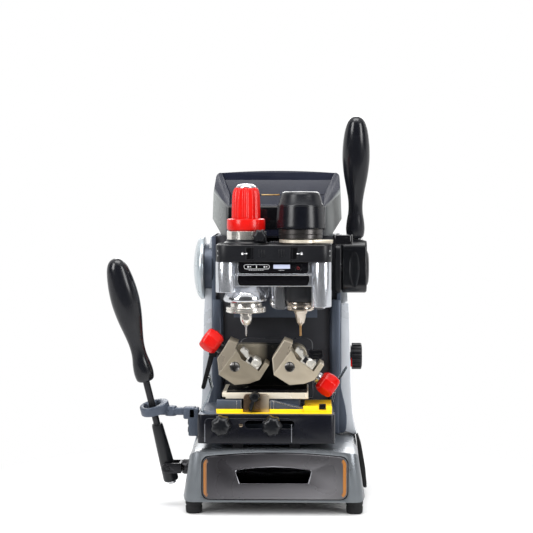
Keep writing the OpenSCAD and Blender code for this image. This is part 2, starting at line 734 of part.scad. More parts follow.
module tracer_quill() color([0.85, 0.82, 0.76]) {
  translate([tracer_x, spindle_y, 0]) difference() {
    union() {
      translate([0, 0, 236]) cylinder(h = 67, r = 12);
      rotate_extrude() polygon([[0, 229.8], [23, 229.8], [24, 230.8], [24, 236], [23.4, 236.8], [18.8, 237],
        [18.8, 241], [17.8, 241.6], [0, 241.6]]);
      rotate_extrude() polygon([[0, 214.8], [4.4, 214.8], [6.8, 219.4], [7.2, 222], [7.2, 228.4], [9, 229.9],
        [0, 229.9]]);
    }
    translate([0, 0, 284]) cylinder(h = 20, r = 5 + run);
    translate([0, 0, 214]) cylinder(h = 12, r = 3);
  }
}

module tracer_point() color([0.8, 0.8, 0.82]) {
  translate([tracer_x, spindle_y, tracer_tip_z]) rotate_extrude()
    polygon([[0, 0], [0.5, 0.2], [1.25, 3], [1.25, 11], [3, 14.5], [3, 24.5], [0, 24.5]]);
}

// ---------- lever ----------

module on_lever() {
  translate([lever_x, shaft_y, shaft_z]) rotate([lever_lean, 0, 0]) children();
}

module lever_shaft() color([0.6, 0.6, 0.62]) {
  rod_x(-28, col_half - 8, shaft_y, shaft_z, 7);
  rod_x(col_half - 8.5, 86, shaft_y, shaft_z, 8);
  translate([0, shaft_y, shaft_z]) rotate([7.5, 0, 0])
    side_prism(gear_points(rack_module, pinion_teeth), -8, 8);
}

module lever_hub() color([0.18, 0.19, 0.21]) {
  difference() {
    union() {
      side_prism(rounded(shaft_y - 31, shaft_z - 29.5, shaft_y + 31, shaft_z + 35.5, 13),
        col_half + 0.8, 110.4);
      translate([110.3, shaft_y, shaft_z]) rotate([0, 90, 0])
        rotate_extrude() polygon([[0, 0], [22, 0], [20.6, 1.6], [15, 3], [0, 3.6]]);
      on_lever() translate([0, 0, 28]) cylinder(h = 9.5, r = 9);
      on_lever() translate([0, 0, 30]) cylinder(h = 14, r = 4);
    }
    rod_x(col_half, 86.2, shaft_y, shaft_z, 8.02);
  }
}

module lever_grip() color([0.06, 0.06, 0.07]) {
  on_lever() difference() {
    translate([0, 0, 40]) grip();
    translate([0, 0, 38]) cylinder(h = 6.2, r = 4.02);
  }
}

module head_lock_wheel() color([0.72, 0.76, 0.78]) {
  difference() {
    union() {
      // domed face of the wheel
      translate([-88.4, shaft_y, shaft_z]) rotate([0, -90, 0]) rotate_extrude($fn = 96)
        polygon([[0, 0], [37.6, 0], [38.8, 1], [39.2, 3], [38.8, 5], [36.6, 7.4], [32, 9.6],
          [26, 11.4], [19, 12.7], [10, 13.7], [0, 14]]);
    }
    rod_x(-100.7, -84, shaft_y, shaft_z, 8 + run);
  }
}

module depth_knob() color([0.15, 0.15, 0.16]) {
  difference() {
    union() {
      translate([91.6, 45, 168]) rotate([0, 90, 0]) rotate_extrude()
        polygon([[0, 0], [13.5, 0], [13.5, 1.6], [0, 1.6]]);
      translate([93, 45, 168]) rotate([0, 90, 0])
        linear_extrude(12.5) polygon(fluted(16.5, 1.6, 18));
    }
    rod_x(91, 93.5, 45, 168, 5 + run);
  }
}

// ---------- cross table ----------

saddle_z0 = 79.6;
saddle_x0 = -58;
saddle_x1 = 40;
rod_z0 = 95;
rod_ys = [-84, -32];
lock_x = -2;

module saddle() color([0.4, 0.41, 0.43]) {
  difference() {
    union() {
      block([saddle_x0, -97, saddle_z0], [saddle_x1, -16, 104]);
      block([lock_x - 8, -103, 98], [lock_x + 8, -96, 112]);
    }
    for (x = [-42, 24])
      block([x - 6.4, -98, saddle_z0 - 1], [x + 6.4, -15, 83.4]);
    for (y = rod_ys)
      rod_x(saddle_x0 - 1, saddle_x1 + 1, y, rod_z0, rod_r + run);
    block([-48, -74, 86], [30, -42, 105]);
    rod_y(-104, -94, lock_x, lock_z, 3 + run);
  }
}

module table_frame() color([0.25, 0.26, 0.3]) {
  difference() {
    union() {
      block([table_x0 + 1, cover_y + 4, 112.5], [table_x1 - 1.5, -12, table_z]);
      block([table_x0 + 1, -102, 86], [table_x0 + 7, -14, 112.6]);
      block([table_x1 - 8, -102, 86], [table_x1 - 1.5, -14, 112.6]);
      // lug of the table lock
      block([-68, cover_y + 4, 99], [-52, -99, 112.6]);
      // pedestal under the clamp plate
      block([-50, -84, table_z - eps], [30, -14, 132]);
      // tool blocks and the housing of the tilt lock
      block([-67, -97, table_z - eps], [-38, -84.5, 131]);
      block([-5, -97, table_z - eps], [35, -84.5, 131]);
      front_prism(concat([[-6, table_z - eps]], arc(-10, 134, 4, 0, 90, 4),
        arc(-31.6, 134, 4, 90, 180, 4), [[-35.6, table_z - eps]]), -98, -88.2);
      block([-35.6, -90, table_z - eps], [-6, -83, 129]);
    }
    for (y = rod_ys)
      rod_x(table_x0, table_x1, y, rod_z0, rod_r + 0.02);
    rod_y(cover_y, -98, -60.2, lock_z, 3 + run);
    rod_y(-99, -88, -22.5, 135.4, 6.4);
    // the gusset's sloping top
    front_prism([[35.2, 131.2], [-2, 131.2], [35.2, 122]], -98, -90);
  }
}

module table_rods() color([0.8, 0.8, 0.82]) {
  for (y = rod_ys)
    rod_x(table_x0 + 1.5, table_x1 - 2, y, rod_z0, rod_r);
}

module front_cover() color([0.13, 0.13, 0.15]) {
  x1 = table_x1;
  difference() {
    union() {
      front_prism(concat([[table_x0, 83]], [[x1, 83]], [[x1, 116.6]], [[table_x0, 116.6]]),
        cover_y, cover_y + 3.6);
      front_prism(concat([[table_x0, 83.5]], [[21, 83.5]], arc(15, 110, 6, 0, 90),
        [[table_x0, 116]]), cover_y - 2, cover_y + 0.5);
      block([x1 - 1.4, cover_y + 3, 83], [x1, -60, 116.6]);
      block([table_x0, cover_y + 3, 83], [table_x0 + 0.9, -60, 116.6]);
    }
    // slot of the cross-slide lock, and the hole of the table lock
    front_prism(rounded(-33.5, lock_z - 4.7, 23.5, lock_z + 4.7, 4.5), cover_y - 3, cover_y + 5);
    rod_y(cover_y - 3, cover_y + 5, -60.2, lock_z, 3.4);
  }
}

module star_knob(x) {
  translate([x, -115.5, lock_z]) rotate([90, 0, 0]) linear_extrude(19) polygon(lobed(12, 1.5, 7));
}

module x_lock_knob() color([0.12, 0.12, 0.13]) {
  star_knob(lock_x);
  rod_y(-116, -98, lock_x, lock_z, 3);
}

module table_lock_knob() color([0.12, 0.12, 0.13]) {
  star_knob(-60.2);
  rod_y(-116, -100, -60.2, lock_z, 3);
}

module clamp_plate() color([0.82, 0.75, 0.65]) {
  difference() {
    block([-61, -88, 132], [39.5, -8, 138.8]);
    rod_y(-89, -78, -22.5, 135.4, 2 + run);
  }
}

module clamp_cradle() color([0.1, 0.1, 0.11]) {
  difference() {
    union() {
      block([-56, -84, 138.8 + eps], [38, -30, 140.4]);
      front_prism(concat([[38, 138.8 + eps]], arc(24, 176, 14, 0, 90), arc(-41, 176, 14, 90, 180),
        [[-55, 138.8 + eps]]), -31, -8);
      rod_x(-71, -54, -20, 180, 5);
      rod_x(-80, -70, -20, 180, 3);
    }
    for (x = [left_clamp_x, clamp_x])
      rod_y(-32, -7, x, clamp_z, 9 + run);
  }
}

module index_lever() color([0.08, 0.08, 0.09]) {
  difference() {
    union() {
      rod_x(-80.4, -71.4, -20, 180, 6.5);
      translate([-77, -20, 176]) rotate([0, 15, 0]) translate([-3.4, -3.5, -43]) cube([6.4, 7, 45]);
    }
    rod_x(-81, -70, -20, 180, 3 + run);
  }
}

module tilt_lock_lever() color([0.07, 0.07, 0.08]) {
  rod_y(-106, -89, -22.5, 135.4, 5.6);
  rod_y(-90, -79, -22.5, 135.4, 2);
  translate([-22.5, -102.4, 135.4]) rotate([0, 18, 0]) translate([0, 0, -15.4])
    rotate_extrude() polygon([[0, -1.5], [2.2, -1.5], [3.4, 0.5], [2.6, 14], [0, 14]]);
}

module chip_guards() color([0.8, 0.86, 0.9, 0.4]) {
  front_prism([[66, table_z], [68, table_z], [75, 144], [86, 162], [84.6, 163.4], [73.2, 145]],
    -34, -13.5);
  front_prism([[-84, table_z], [-86, table_z], [-74, 144], [-77.4, 158], [-75.6, 158.6],
    [-72, 144.4]], -92, -72);
}

module joystick_arm() color([0.22, 0.24, 0.26]) {
  eye = stick_eye;
  difference() {
    union() {
      // bar on the table's end, then the arm out to the eye
      block([-101, -84, 87], [table_x0 - 0.3, -70, 120]);
      block([-107, -84, 107], [-92, -70, 121]);
      translate([eye[0] + 6, -82, 111.5]) cube([32, 10, 8.5]);
      rod_z(110.5, 122, -122, -77, 7);
      translate(eye) rotate([0, stick_lean_x, 0]) rotate([stick_lean_y, 0, 0])
        translate([0, 0, -5.5]) {
          cylinder(h = 11, r = 15);
          translate([5, 0, 0]) cylinder(h = 11, r = 14.5);
        }
    }
    translate(eye) rotate([0, stick_lean_x, 0]) rotate([stick_lean_y, 0, 0])
      rotate_extrude() polygon([[0, -20], [10.8, -20], [10.8, -5.5], [8.9, 0], [10.8, 5.5], [10.8, 20],
        [0, 20]]);
  }
}

// ---------- key clamps ----------

// Places its children in the frame of a clamp, tilt axis at the origin
module in_clamp(x) {
  translate([x, 0, clamp_z]) rotate([0, clamp_tilt, 0]) children();
}

// Front outline of a clamp block with its stepped fixed jaw
clamp_outline = [[-27.4, -14], [-28.6, 12.5], [-18.2, 15], [-18, 12], [-17.4, 11.8], [-17.2, 8.2],
  [-14.2, 7.9], [-14, 6.6], [-11, 6.3], [-10.8, 5.2], [-8, 5], [-7.8, 3.6], [-5.2, 3.3], [-5, 2], [21, 2], [21, 14.8], [26.6, 14.8], [27.4, -5.6], [20.2, -16.1],
  [7, -27.4], [-14.8, -28.3]];
screw_z = -3;

module clamp_block(x, s) {
  in_clamp(x) difference() {
    union() {
      front_prism(clamp_outline, clamp_y0, clamp_y1);
      rod_y(clamp_y1 - 1, -9, 0, 0, 9);
    }
    // slot and bore of the jaw's drive
    block([3.6, -60, -8.4], [17.4, -48, 2.1]);
    if (s > 0)
      rod_x(3, 30, -54, screw_z, 4 + run);
    else
      rod_x(-30, 18, -54, screw_z, 4 + run);
    // counterbore on the front face
    rod_y(clamp_y0 - 1, clamp_y0 + 3, -5.1, -9.8, 6.2);
  }
}

module jaw(x) {
  in_clamp(x) difference() {
    union() {
      front_prism([[1.5, 2.1], [18.6, 2.1], [18.6, 10.6], [16.6, 12.4], [8, 12.4], [6, 9.4], [1.5, 9.4]],
        clamp_y0 + 2, clamp_y1 - 2);
      // stepped finger on the front half
      front_prism([[-11, 9], [-6, 8.4], [-1.6, 7], [1.4, 6.4], [3, 6.4], [3, 9.3], [0.4, 9.6],
        [-2.2, 13.7], [-10.2, 14.2]], clamp_y0 + 2, clamp_y0 + 25);
      rod_y(clamp_y0 + 0.4, clamp_y0 + 3, 12.2, 7.4, 4.6);
      block([9, -59.4, -8], [15, -48.6, 2.2]);
    }
    rod_x(2, 20, -54, screw_z, 4 + run);
  }
}

module jaw_knob(x, s) {
  in_clamp(x) translate([0, -54, screw_z]) mirror([s < 0 ? 1 : 0, 0, 0]) {
    if (s > 0)
      rod_x(5, 34, 0, 0, 4);
    else
      rod_x(-16.5, 34, 0, 0, 4);
    rod_x(28.8, 33.6, 0, 0, 7);
    translate([33.4, 0, 0]) rotate([0, 90, 0])
      rotate_extrude($fn = 8) polygon([[0, 0], [10, 0], [13.2, 4], [14.6, 12], [13.4, 19], [10.5, 22], [0, 22]]);
  }
}

module left_clamp() color([0.52, 0.46, 0.38]) clamp_block(left_clamp_x, -1);
module right_clamp() color([0.72, 0.66, 0.56]) clamp_block(clamp_x, 1);
module left_jaw() color([0.75, 0.72, 0.68]) jaw(left_clamp_x);
module right_jaw() color([0.75, 0.72, 0.68]) {
  jaw(clamp_x);
  // dark stop block above the jaw's head
  translate([clamp_x, 0, clamp_z])
    front_prism([[12.5, 3], [27, 4], [29, 7], [29, 14.5], [12.5, 14.5]], clamp_y0 + 3, clamp_y0 + 11);
}
module left_jaw_knob() color([0.93, 0.18, 0.16]) jaw_knob(left_clamp_x, -1);
module right_jaw_knob() color([0.93, 0.18, 0.16]) jaw_knob(clamp_x, 1);

// ---------- assembly ----------

base_casting();
base_plate();
rubber_feet();
column_casting();
hood();
left_side_panel();
right_side_panel();
rear_cover();
dc_inlet();
control_board();
battery_pack();
guide_rails();
joystick_bracket();
lever_spring();
case_screws();
drawer_tray();
drawer_front();
head_casting();
head_band();
control_panel();
head_plate();
head_rack();
motor_housing();
spindle_bearings();
tracer_barrel();
spindle_shaft();
collet_nut();
cutter();
collet_lever();
band_slider();
power_button();
tracer_knob();
tracer_quill();
tracer_point();
tracer_clamp_knob();
lever_shaft();
lever_hub();
lever_grip();
head_lock_wheel();
depth_knob();
saddle();
table_frame();
table_rods();
front_cover();
clamp_plate();
clamp_cradle();
chip_guards();
joystick_arm();
left_clamp();
right_clamp();
left_jaw();
right_jaw();
left_jaw_knob();
right_jaw_knob();
index_lever();
tilt_lock_lever();
x_lock_knob();
table_lock_knob();
joystick_yoke();
joystick_rod();
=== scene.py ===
# %% [markdown]
# # A key duplicating machine, dressed for rendering
#
# The construction already exists as a frame of CAD solids with real joints. This
# lesson gives that frame its looks. Each step names a piece of the real machine,
# says how it could be made in Blender and why it is made this way here. Lengths
# are written in millimetres and scaled to metres by MM.

# %% Load the frame
import math

import bpy
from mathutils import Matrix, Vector


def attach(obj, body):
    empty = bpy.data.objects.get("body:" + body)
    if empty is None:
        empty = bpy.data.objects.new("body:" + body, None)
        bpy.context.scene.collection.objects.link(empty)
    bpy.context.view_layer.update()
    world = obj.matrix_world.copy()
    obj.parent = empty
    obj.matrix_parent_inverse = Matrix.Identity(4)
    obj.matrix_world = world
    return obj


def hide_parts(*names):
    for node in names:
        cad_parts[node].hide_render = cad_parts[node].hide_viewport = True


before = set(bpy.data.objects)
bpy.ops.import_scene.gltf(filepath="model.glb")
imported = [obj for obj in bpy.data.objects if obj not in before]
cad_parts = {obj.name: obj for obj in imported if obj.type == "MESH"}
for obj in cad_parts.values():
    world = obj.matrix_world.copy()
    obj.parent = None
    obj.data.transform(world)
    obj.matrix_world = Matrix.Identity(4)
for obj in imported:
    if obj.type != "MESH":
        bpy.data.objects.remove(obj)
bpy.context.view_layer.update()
MM = 0.001
TURN = 2 * math.pi

# %% [markdown]
# ## Camera and studio
#
# A small machine on a white table looks right through a long lens from two metres
# away, because its upright edges then stay parallel. The view is a little from
# above. The lens is shifted so that the object sits low in the picture while the
# camera stays level with it.

# %% Camera
def add_camera():
    distance, azimuth, elevation = 2.0, math.radians(1.3), math.radians(4.5)
    target = Vector((0, 0, 0.235))
    away = Vector((math.sin(azimuth) * math.cos(elevation),
                   -math.cos(azimuth) * math.cos(elevation), math.sin(elevation)))
    bpy.ops.object.camera_add(location=target + distance * away)
    camera = bpy.context.object
    camera.rotation_euler = (-away).to_track_quat("-Z", "Y").to_euler()
    camera.data.lens = 111.2
    camera.data.sensor_width = 36
    camera.data.shift_x = -0.018
    camera.data.shift_y = 0.072
    bpy.context.scene.camera = camera
    return camera


camera = add_camera()
print("camera at", [round(v, 3) for v in camera.location])

# %% [markdown]
# Soft boxes light the machine from both sides and from above. Polished metal has
# no look of its own and shows only its surroundings, and black plastic looks grey
# when everything around it is white. So a large dark card stands behind the camera,
# one lies low before it and two stand at the sides: they keep the blacks deep and
# put dark stripes into the chrome. Only reflections see the cards. Far from the
# feet the floor turns into the white of the background, so no horizon shows.

# %% Floor, lamps, cards and world
def add_node(tree, kind, values=None, operation=None):
    """A shader node with some of its input sockets set."""
    node = tree.nodes.new("ShaderNode" + kind)
    if operation:
        node.operation = operation
    for socket, value in (values or {}).items():
        node.inputs[socket].default_value = value
    return node


def wire(tree, *pairs):
    """Links each pair of an output and an input socket."""
    for source, target in pairs:
        tree.links.new(source, target)


def seen_directly(tree):
    """1 for what the camera, a reflection or a clear sheet sees, 0 for lighting."""
    path = add_node(tree, "LightPath")
    total = path.outputs["Is Camera Ray"]
    for ray in ("Is Glossy Ray", "Is Transmission Ray"):
        either = add_node(tree, "Math", operation="MAXIMUM")
        wire(tree, (total, either.inputs[0]), (path.outputs[ray], either.inputs[1]))
        total = either.outputs[0]
    return total


def plain_material(name, colour, roughness, specular=0.5):
    material = bpy.data.materials.new(name)
    material.use_nodes = True
    shader = material.node_tree.nodes["Principled BSDF"]
    shader.inputs["Base Color"].default_value = (*colour, 1)
    shader.inputs["Roughness"].default_value = roughness
    shader.inputs["Specular IOR Level"].default_value = specular
    return material


def add_floor():
    bpy.ops.mesh.primitive_plane_add(size=30, location=(0, 0, 0))
    floor = bpy.context.object
    floor.name = "studio_floor"
    material = plain_material("studio_white", (0.93, 0.93, 0.93), 0.9, 0.1)
    tree = material.node_tree
    place = add_node(tree, "TexCoord")
    reach = add_node(tree, "VectorMath", operation="LENGTH")
    fade = add_node(tree, "MapRange", {"From Min": 0.15, "From Max": 0.42})
    fade.interpolation_type = "SMOOTHSTEP"
    factor = add_node(tree, "Math", operation="MULTIPLY")
    white = add_node(tree, "Emission")
    blend = add_node(tree, "MixShader")
    wire(tree,
         (place.outputs["Object"], reach.inputs[0]),
         (reach.outputs["Value"], fade.inputs["Value"]),
         (fade.outputs["Result"], factor.inputs[0]),
         (seen_directly(tree), factor.inputs[1]),
         (factor.outputs[0], blend.inputs["Fac"]),
         (tree.nodes["Principled BSDF"].outputs["BSDF"], blend.inputs[1]),
         (white.outputs["Emission"], blend.inputs[2]),
         (blend.outputs["Shader"], tree.nodes["Material Output"].inputs["Surface"]))
    floor.data.materials.append(material)
    return floor


def add_soft_box(name, place, aim, size, power):
    bpy.ops.object.light_add(type="AREA", location=place)
    lamp = bpy.context.object
    lamp.name = name
    lamp.data.shape = "RECTANGLE"
    lamp.data.size, lamp.data.size_y = size
    lamp.data.energy = power
    lamp.rotation_euler = (Vector(aim) - Vector(place)).to_track_quat("-Z", "Y").to_euler()
    return lamp


def add_dark_card(name, place, aim, size):
    """A card that only reflections see."""
    bpy.ops.mesh.primitive_plane_add(size=1, location=place)
    card = bpy.context.object
    card.name = name
    card.scale = (size[0], size[1], 1)
    card.rotation_euler = (Vector(aim) - Vector(place)).to_track_quat("Z", "Y").to_euler()
    card.data.materials.append(card_black)
    card.visible_camera = False
    card.visible_shadow = False
    card.visible_diffuse = False
    card.visible_transmission = False
    return card


def light_world():
    world = bpy.data.worlds.new("studio")
    bpy.context.scene.world = world
    world.use_nodes = True
    tree = world.node_tree
    sky = tree.nodes["Background"]
    sky.inputs["Color"].default_value = (1, 1, 1, 1)
    strength = add_node(tree, "MapRange", {"To Min": 0.4, "To Max": 1.0})
    wire(tree,
         (seen_directly(tree), strength.inputs["Value"]),
         (strength.outputs["Result"], sky.inputs["Strength"]))


bpy.context.scene.view_settings.view_transform = "Standard"
light_world()
add_floor()
card_black = plain_material("card_black", (0.012, 0.012, 0.014), 0.9)
middle = (0, 0, 0.22)
add_soft_box("key_left", (-1.15, -1.15, 1.0), middle, (0.6, 1.2), 24)
add_soft_box("fill_right", (1.25, -0.95, 0.7), middle, (0.5, 1.1), 16)
add_soft_box("top", (0, -0.3, 1.6), middle, (1.1, 0.8), 20)
add_soft_box("back", (0.1, 1.3, 0.9), middle, (1.2, 0.7), 12)
add_dark_card("card_front", (0, -2.9, 0.9), middle, (4.6, 3.6))
add_dark_card("card_low", (0, -1.65, 0.004), (0, -1.65, 1), (4.2, 2.4))
add_dark_card("card_left", (-2.3, -0.9, 0.7), middle, (2.4, 3.0))
add_dark_card("card_right", (2.3, -0.9, 0.7), middle, (2.4, 3.0))
print("studio: 4 lamps, 4 cards")

# %% [markdown]
# ## Shared effects for the materials
#
# Three effects appear in nearly every finish, so each is a node group that is
# built once. Grain is fine noise in the piece's own coordinates: it gives a height
# for a bump and a value that varies colour and gloss. The edge mask finds the edges
# by comparing the true normal with a rounded one; the colour it lays there shows
# rubbed edges on some finishes and a painted highlight along the edges on others.
# Brushing is noise drawn out along one axis, as a grinding belt leaves it.

# %% Node groups
def new_group(name, inputs, outputs):
    group = bpy.data.node_groups.new(name, "ShaderNodeTree")
    for label, kind, value in inputs:
        socket = group.interface.new_socket(label, in_out="INPUT", socket_type=kind)
        if value is not None:
            socket.default_value = value
    for label, kind in outputs:
        group.interface.new_socket(label, in_out="OUTPUT", socket_type=kind)
    return group, group.nodes.new("NodeGroupInput"), group.nodes.new("NodeGroupOutput")


def build_grain():
    group, given, out = new_group(
        "surface_grain", [("Scale", "NodeSocketFloat", 900.0)],
        [("Height", "NodeSocketFloat"), ("Patches", "NodeSocketFloat")])
    place = add_node(group, "TexCoord").outputs["Object"]
    fine = add_node(group, "TexNoise", {"Detail": 3})
    patches = add_node(group, "TexNoise", {"Scale": 26, "Detail": 4})
    wire(group,
         (place, fine.inputs["Vector"]),
         (place, patches.inputs["Vector"]),
         (given.outputs["Scale"], fine.inputs["Scale"]),
         (fine.outputs["Fac"], out.inputs["Height"]),
         (patches.outputs["Fac"], out.inputs["Patches"]))
    return group


def build_wear_and_highlight():
    group, given, out = new_group(
        "edge_wear_and_highlight", [("Width", "NodeSocketFloat", 0.0006), ("Amount", "NodeSocketFloat", 0.5)],
        [("Mask", "NodeSocketFloat")])
    place = add_node(group, "TexCoord").outputs["Object"]
    rounded_edge = add_node(group, "Bevel")
    rounded_edge.samples = 4
    geometry = add_node(group, "NewGeometry")
    same = add_node(group, "VectorMath", operation="DOT_PRODUCT")
    edge = add_node(group, "MapRange", {"From Min": 0.995, "From Max": 0.8})
    chips = add_node(group, "TexNoise", {"Scale": 160})
    broken = add_node(group, "Math", operation="MULTIPLY")
    scaled = add_node(group, "Math", operation="MULTIPLY")
    wire(group,
         (given.outputs["Width"], rounded_edge.inputs["Radius"]),
         (rounded_edge.outputs["Normal"], same.inputs[0]),
         (geometry.outputs["Normal"], same.inputs[1]),
         (same.outputs["Value"], edge.inputs["Value"]),
         (place, chips.inputs["Vector"]),
         (edge.outputs["Result"], broken.inputs[0]),
         (chips.outputs["Fac"], broken.inputs[1]),
         (broken.outputs[0], scaled.inputs[0]),
         (given.outputs["Amount"], scaled.inputs[1]),
         (scaled.outputs[0], out.inputs["Mask"]))
    return group


def build_brush():
    group, given, out = new_group(
        "brushed_lines", [("Stretch", "NodeSocketVector", (1.0, 1.0, 1.0))],
        [("Lines", "NodeSocketFloat")])
    place = add_node(group, "TexCoord").outputs["Object"]
    drawn = add_node(group, "VectorMath", operation="MULTIPLY")
    lines = add_node(group, "TexNoise", {"Scale": 1, "Detail": 5})
    wire(group,
         (place, drawn.inputs[0]),
         (given.outputs["Stretch"], drawn.inputs[1]),
         (drawn.outputs["Vector"], lines.inputs["Vector"]),
         (lines.outputs["Fac"], out.inputs["Lines"]))
    return group


GRAIN, WEAR_AND_HIGHLIGHT, BRUSH = build_grain(), build_wear_and_highlight(), build_brush()
print("groups:", GRAIN.name, WEAR_AND_HIGHLIGHT.name, BRUSH.name)

# %% [markdown]
# ## One recipe for every finish
#
# A painted casting, a moulded plastic and a turned steel part differ in colour,
# gloss, metalness, the size of their grain and what shows at their edges: rubbed
# metal on some, a painted highlight on others. Fades along a direction lay a second
# colour: a real coating line on the cutter, painted light and shade on several
# finishes. One function with those as its arguments keeps the finishes alike in
# their making and different in their look.

# %% Finish recipe
def group_node(tree, group, values):
    node = tree.nodes.new("ShaderNodeGroup")
    node.node_tree = group
    for label, value in values.items():
        node.inputs[label].default_value = value
    return node


def spread(tree, source, low, high, from_low=0.3, from_high=0.7):
    """A number that follows a pattern between two values."""
    node = add_node(tree, "MapRange",
                    {"From Min": from_low, "From Max": from_high, "To Min": low, "To Max": high})
    wire(tree, (source, node.inputs["Value"]))
    return node.outputs["Result"]


def blend_colour(tree, factor, first, second):
    node = add_node(tree, "Mix")
    node.data_type = "RGBA"
    wire(tree, (factor, node.inputs["Factor"]))
    for socket, colour in ((node.inputs["A"], first), (node.inputs["B"], second)):
        if isinstance(colour, tuple):
            socket.default_value = (*colour, 1)
        else:
            wire(tree, (colour, socket))
    return node.outputs["Result"]


def along(tree, direction, low, high, mirrored=False):
    """How far a place lies along a direction: 0 at low, 1 at high, in millimetres."""
    place = add_node(tree, "TexCoord").outputs["Object"]
    if mirrored:
        folded = add_node(tree, "VectorMath", operation="ABSOLUTE")
        wire(tree, (place, folded.inputs[0]))
        place = folded.outputs["Vector"]
    dot = add_node(tree, "VectorMath", {1: direction}, "DOT_PRODUCT")
    wire(tree, (place, dot.inputs[0]))
    return spread(tree, dot.outputs["Value"], 0, 1, low * MM, high * MM)


def finish(name, colour, roughness, metallic=0.0, coat=0.0, grain=900, bump=0.05, vary=0.12,
           wear_and_highlight=None, wear_and_highlight_amount=0.6, brushed=None, gloss_spread=0.06, specular=0.5, fades=()):
    """A procedural material; each fade is (direction, low, high, mirrored, colour)."""
    material = plain_material(name, colour, roughness, specular)
    tree = material.node_tree
    shader = tree.nodes["Principled BSDF"]
    shader.inputs["Metallic"].default_value = metallic
    shader.inputs["Coat Weight"].default_value = coat
    shader.inputs["Coat Roughness"].default_value = 0.08
    pattern = group_node(tree, GRAIN, {"Scale": grain})
    height, patches = pattern.outputs["Height"], pattern.outputs["Patches"]
    if brushed:
        height = patches = group_node(tree, BRUSH, {"Stretch": brushed}).outputs["Lines"]
    dark = tuple(c * (1 - vary) for c in colour)
    light = tuple(min(1.0, c * (1 + vary)) for c in colour)
    varied = blend_colour(tree, spread(tree, patches, 0, 1), dark, light)
    for direction, low, high, mirrored, other in fades:
        varied = blend_colour(tree, along(tree, direction, low, high, mirrored), varied, other)
    # The edge colour shows rubbed edges on some finishes and is a painted highlight along the edges on
    # others.
    if wear_and_highlight:
        mask = group_node(tree, WEAR_AND_HIGHLIGHT, {"Width": 0.0006, "Amount": wear_and_highlight_amount}).outputs["Mask"]
        varied = blend_colour(tree, mask, varied, wear_and_highlight)
    gloss = spread(tree, patches, max(0.02, roughness - gloss_spread), roughness + gloss_spread)
    relief = add_node(tree, "Bump", {"Strength": bump, "Distance": 0.0002})
    wire(tree,
         (varied, shader.inputs["Base Color"]),
         (gloss, shader.inputs["Roughness"]),
         (height, relief.inputs["Height"]),
         (relief.outputs["Normal"], shader.inputs["Normal"]))
    return material


# The silver turns darker towards the bottom of the base: painted shade, with the upper part left as lit.
silver_paint_with_painted_shade = finish("silver_paint_with_painted_shade", (0.19, 0.205, 0.222), 0.3, metallic=0.6, coat=0.2,
                      grain=2600, bump=0.2, vary=0.08, wear_and_highlight=(0.5, 0.52, 0.54), wear_and_highlight_amount=0.5,
                      fades=[((0, 0, -1), -74, -30, False, (0.115, 0.127, 0.138))])
slate_paint = finish("slate_paint", (0.062, 0.076, 0.104), 0.42, metallic=0.3, coat=0.05,
                     grain=1800, bump=0.25, wear_and_highlight=(0.2, 0.23, 0.27), specular=0.35)
recess_paint = finish("recess_paint", (0.022, 0.023, 0.028), 0.5, grain=1500, bump=0.3,
                      wear_and_highlight=(0.07, 0.07, 0.08), wear_and_highlight_amount=0.5, specular=0.3)
bead_painted_highlight = finish("bead_painted_highlight", (0.30, 0.31, 0.33), 0.3, metallic=0.8, grain=900, bump=0.05)
pearl_paint = finish("pearl_paint", (0.56, 0.59, 0.63), 0.3, metallic=0.15, coat=0.4,
                     grain=1600, bump=0.06, vary=0.03)
charcoal = finish("charcoal_plastic", (0.008, 0.0085, 0.0105), 0.36, grain=1500, bump=0.2,
                  wear_and_highlight=(0.05, 0.052, 0.058), wear_and_highlight_amount=0.6, specular=0.3)
gloss_black = finish("gloss_black", (0.004, 0.004, 0.005), 0.12, grain=400, bump=0.02,
                     specular=0.4)
motor_black = finish("motor_black", (0.004, 0.0045, 0.007), 0.26, grain=500, bump=0.02, specular=0.35)
# Near-black and matt: the paint for the shade laid into the drawer's recess.
painted_shade_black = finish("painted_shade_black", (0.003, 0.003, 0.0035), 0.8, grain=900, bump=0.1, specular=0.1)
# The hood's cheeks are painted lighter towards their outer edges: a painted reflection of the bright
# surroundings on faces that slope outwards.
hood_plastic_with_painted_light = finish("hood_plastic_with_painted_light", (0.011, 0.013, 0.024), 0.24, grain=700, bump=0.02, vary=0.05,
                      specular=0.22, fades=[((1, -0.54, 0), 48.8, 50.2, True, (0.07, 0.073, 0.076)),
                             ((1, -0.35, 0), 55, 61, True, (0.25, 0.265, 0.26))])
rubber = finish("rubber", (0.008, 0.008, 0.009), 0.75, grain=1200, bump=0.5, specular=0.3)
chrome = finish("chrome", (0.60, 0.62, 0.66), 0.22, metallic=0.85, grain=60, bump=0.02, vary=0.02,
                gloss_spread=0.03)
steel = finish("ground_steel", (0.52, 0.52, 0.54), 0.26, metallic=0.9, bump=0.12, vary=0.08,
               brushed=(900.0, 900.0, 60.0))
nickel = finish("satin_nickel", (0.48, 0.42, 0.325), 0.34, metallic=0.5, grain=2200, bump=0.1,
                vary=0.04, wear_and_highlight=(0.85, 0.8, 0.72), wear_and_highlight_amount=0.9)
